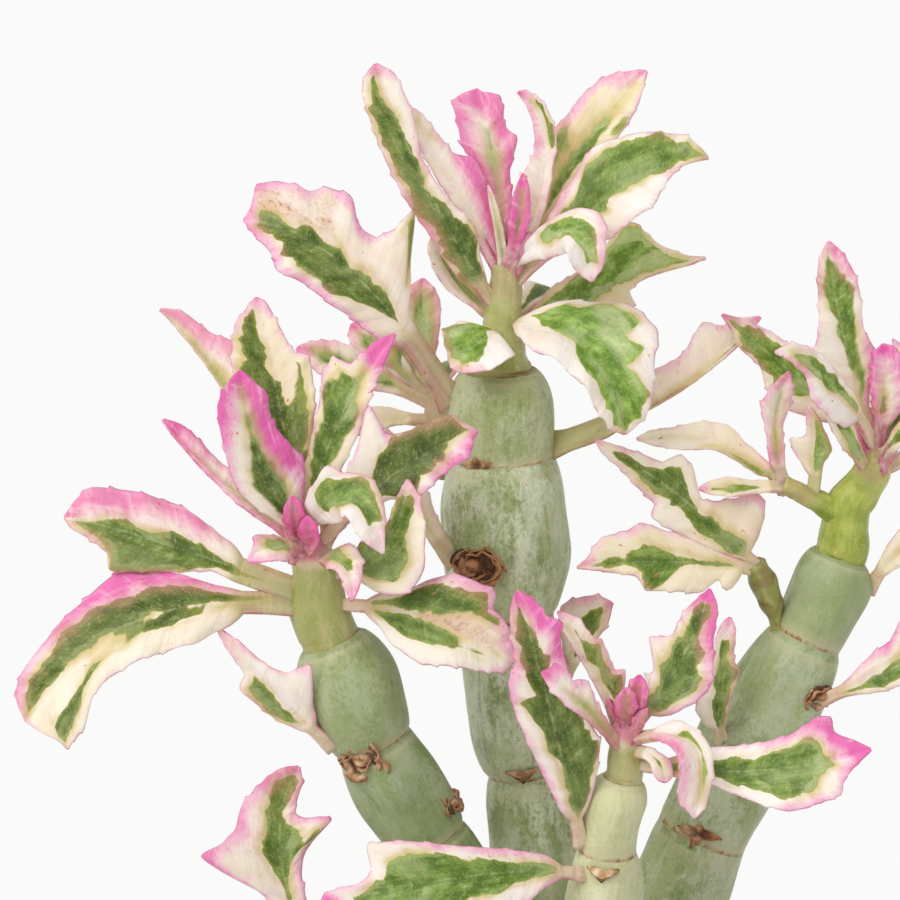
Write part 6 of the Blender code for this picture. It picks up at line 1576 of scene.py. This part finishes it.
def neck_knots(name):
    """A crown's neck, sunk a little into the top of its stem."""
    stem_name, radius, knots = NECKS[name]
    centres, _, _ = stem_rings(STEMS[stem_name])
    along = (centres[-1] - centres[-2]).normalized()
    return [(centres[-1] + along * rise, radius) for rise in NECK_SINKS] + list(knots)


def seed_of(name):
    return sum(ord(letter) for letter in name)


def build_crown(name, necks, leaves, leaf_look, neck_look):
    """The leaves of a crown as one piece and the neck they grow from as another."""
    buds = [BUD] * (len(leaves) - len(PAINTS[name]))
    blades = Skin()
    for k, (shape, colours) in enumerate(zip(leaves, [*PAINTS[name], *buds])):
        add_leaf(blades, shape, colours, seed_of(name) + k)
    blades.make(name + "_leaves", leaf_look, [name])
    young = Skin()
    for k, knots in enumerate(necks):
        add_neck(young, knots, k * 20, NECK_HUES.get(name, PLAIN_NECK))
    young.make(name + "_neck", neck_look, [name])


def build_side_leaf(name, stem_name, height, azimuth, shape, leaf_look):
    root = on_stem(stem_name, height, azimuth, ROOT_OFF)[0]
    skin = Skin()
    add_leaf(skin, shape._replace(root=root), PAINTS[name][0], seed_of(name))
    skin.make(name + "_blade", leaf_look, [name])


def build_scars(paper_look):
    """The bud rosettes, leaf scars and torn scars of each stem."""
    for name in STEMS:
        skin = Skin()
        for k, (height, azimuth, radius, age) in enumerate(ROSETTES.get(name, ())):
            foot, out, _ = on_stem(name, height, azimuth, 0)
            add_rosette(skin, foot, out, radius, len(name) * 31 + k * 100, age)
        for k, (height, azimuth, width, drop, age) in enumerate(SCARS.get(name, ())):
            add_scar(skin, name, height, azimuth, width, drop, len(name) * 17 + k, age)
        for k, (height, azimuth, reach, age) in enumerate(STARS.get(name, ())):
            add_star(skin, name, height, azimuth, reach, len(name) * 23 + k, age)
        if skin.count:
            skin.make(name + "_scars", paper_look)


def build_plant():
    leaf_look = leaf_material()
    neck_look = neck_material()
    build_stems(stem_material())
    for name, leaves in CROWNS.items():
        build_crown(name, [neck_knots(name)] + EXTRA_NECKS.get(name, []), leaves, leaf_look, neck_look)
    build_crown("crown_branch", [BRANCH_BACK], CROWN_BRANCH, leaf_look, neck_look)
    build_crown("leaf_right_lobed", [sunk(STALK_RIGHT)], STALK_RIGHT_LEAVES, leaf_look, neck_look)
    for name, (stem_name, height, azimuth, shape) in SIDE_LEAVES.items():
        build_side_leaf(name, stem_name, height, azimuth, shape, leaf_look)
    build_scars(paper_material())


def add_sun(name, place, strength, spread, colour):
    """A wide soft light from a direction, which lights the whole floor alike."""
    data = bpy.data.lights.new(name, "SUN")
    data.angle = math.radians(spread)
    data.energy = strength
    data.color = colour
    lamp = bpy.data.objects.new(name, data)
    lamp.location = place
    lamp.rotation_euler = (-Vector(place)).to_track_quat("-Z", "Y").to_euler()
    bpy.context.scene.collection.objects.link(lamp)


def build_studio():
    """A pale floor without an edge, soft light from the upper left and an even white room."""
    mesh = bpy.data.meshes.new("floor")
    corners = [(x * FLOOR_REACH, y * FLOOR_REACH, 0) for x, y in ((-1, -1), (1, -1), (1, 1), (-1, 1))]
    mesh.from_pydata(corners, [], [(0, 1, 2, 3)])
    floor = bpy.data.objects.new("floor", mesh)
    bpy.context.scene.collection.objects.link(floor)
    paper = Nodes("pale floor")
    paper.set(Base_Color=(0.92, 0.92, 0.92), Roughness=0.95, Specular_IOR_Level=0.0)
    mesh.materials.append(paper.material)

    world = bpy.data.worlds.new("room")
    bpy.context.scene.world = world
    world.use_nodes = True
    backdrop = world.node_tree.nodes["Background"]
    backdrop.inputs["Color"].default_value = (1.0, 1.0, 1.0, 1)
    backdrop.inputs["Strength"].default_value = ROOM_LIGHT
    add_sun("window", (-0.8, -0.9, 1.3), WINDOW_LIGHT, 50, (1.0, 0.995, 0.985))


def build_camera():
    """The photograph's view, from 0.65 m away and a little above."""
    lens = bpy.data.cameras.new("camera")
    lens.sensor_width = 36
    lens.lens = 156
    lens.clip_end = 100
    camera = bpy.data.objects.new("camera", lens)
    camera.location = (-0.020, -0.6401, 0.3049)
    camera.rotation_euler = (math.radians(90 - CAMERA_DIP), 0, 0)
    bpy.context.scene.collection.objects.link(camera)
    bpy.context.scene.camera = camera


bpy.context.scene.view_settings.view_transform = "Standard"
build_camera()
build_studio()
build_plant()
repaint("pot", pot_material())
repaint("soil", soil_material())
build_grit()
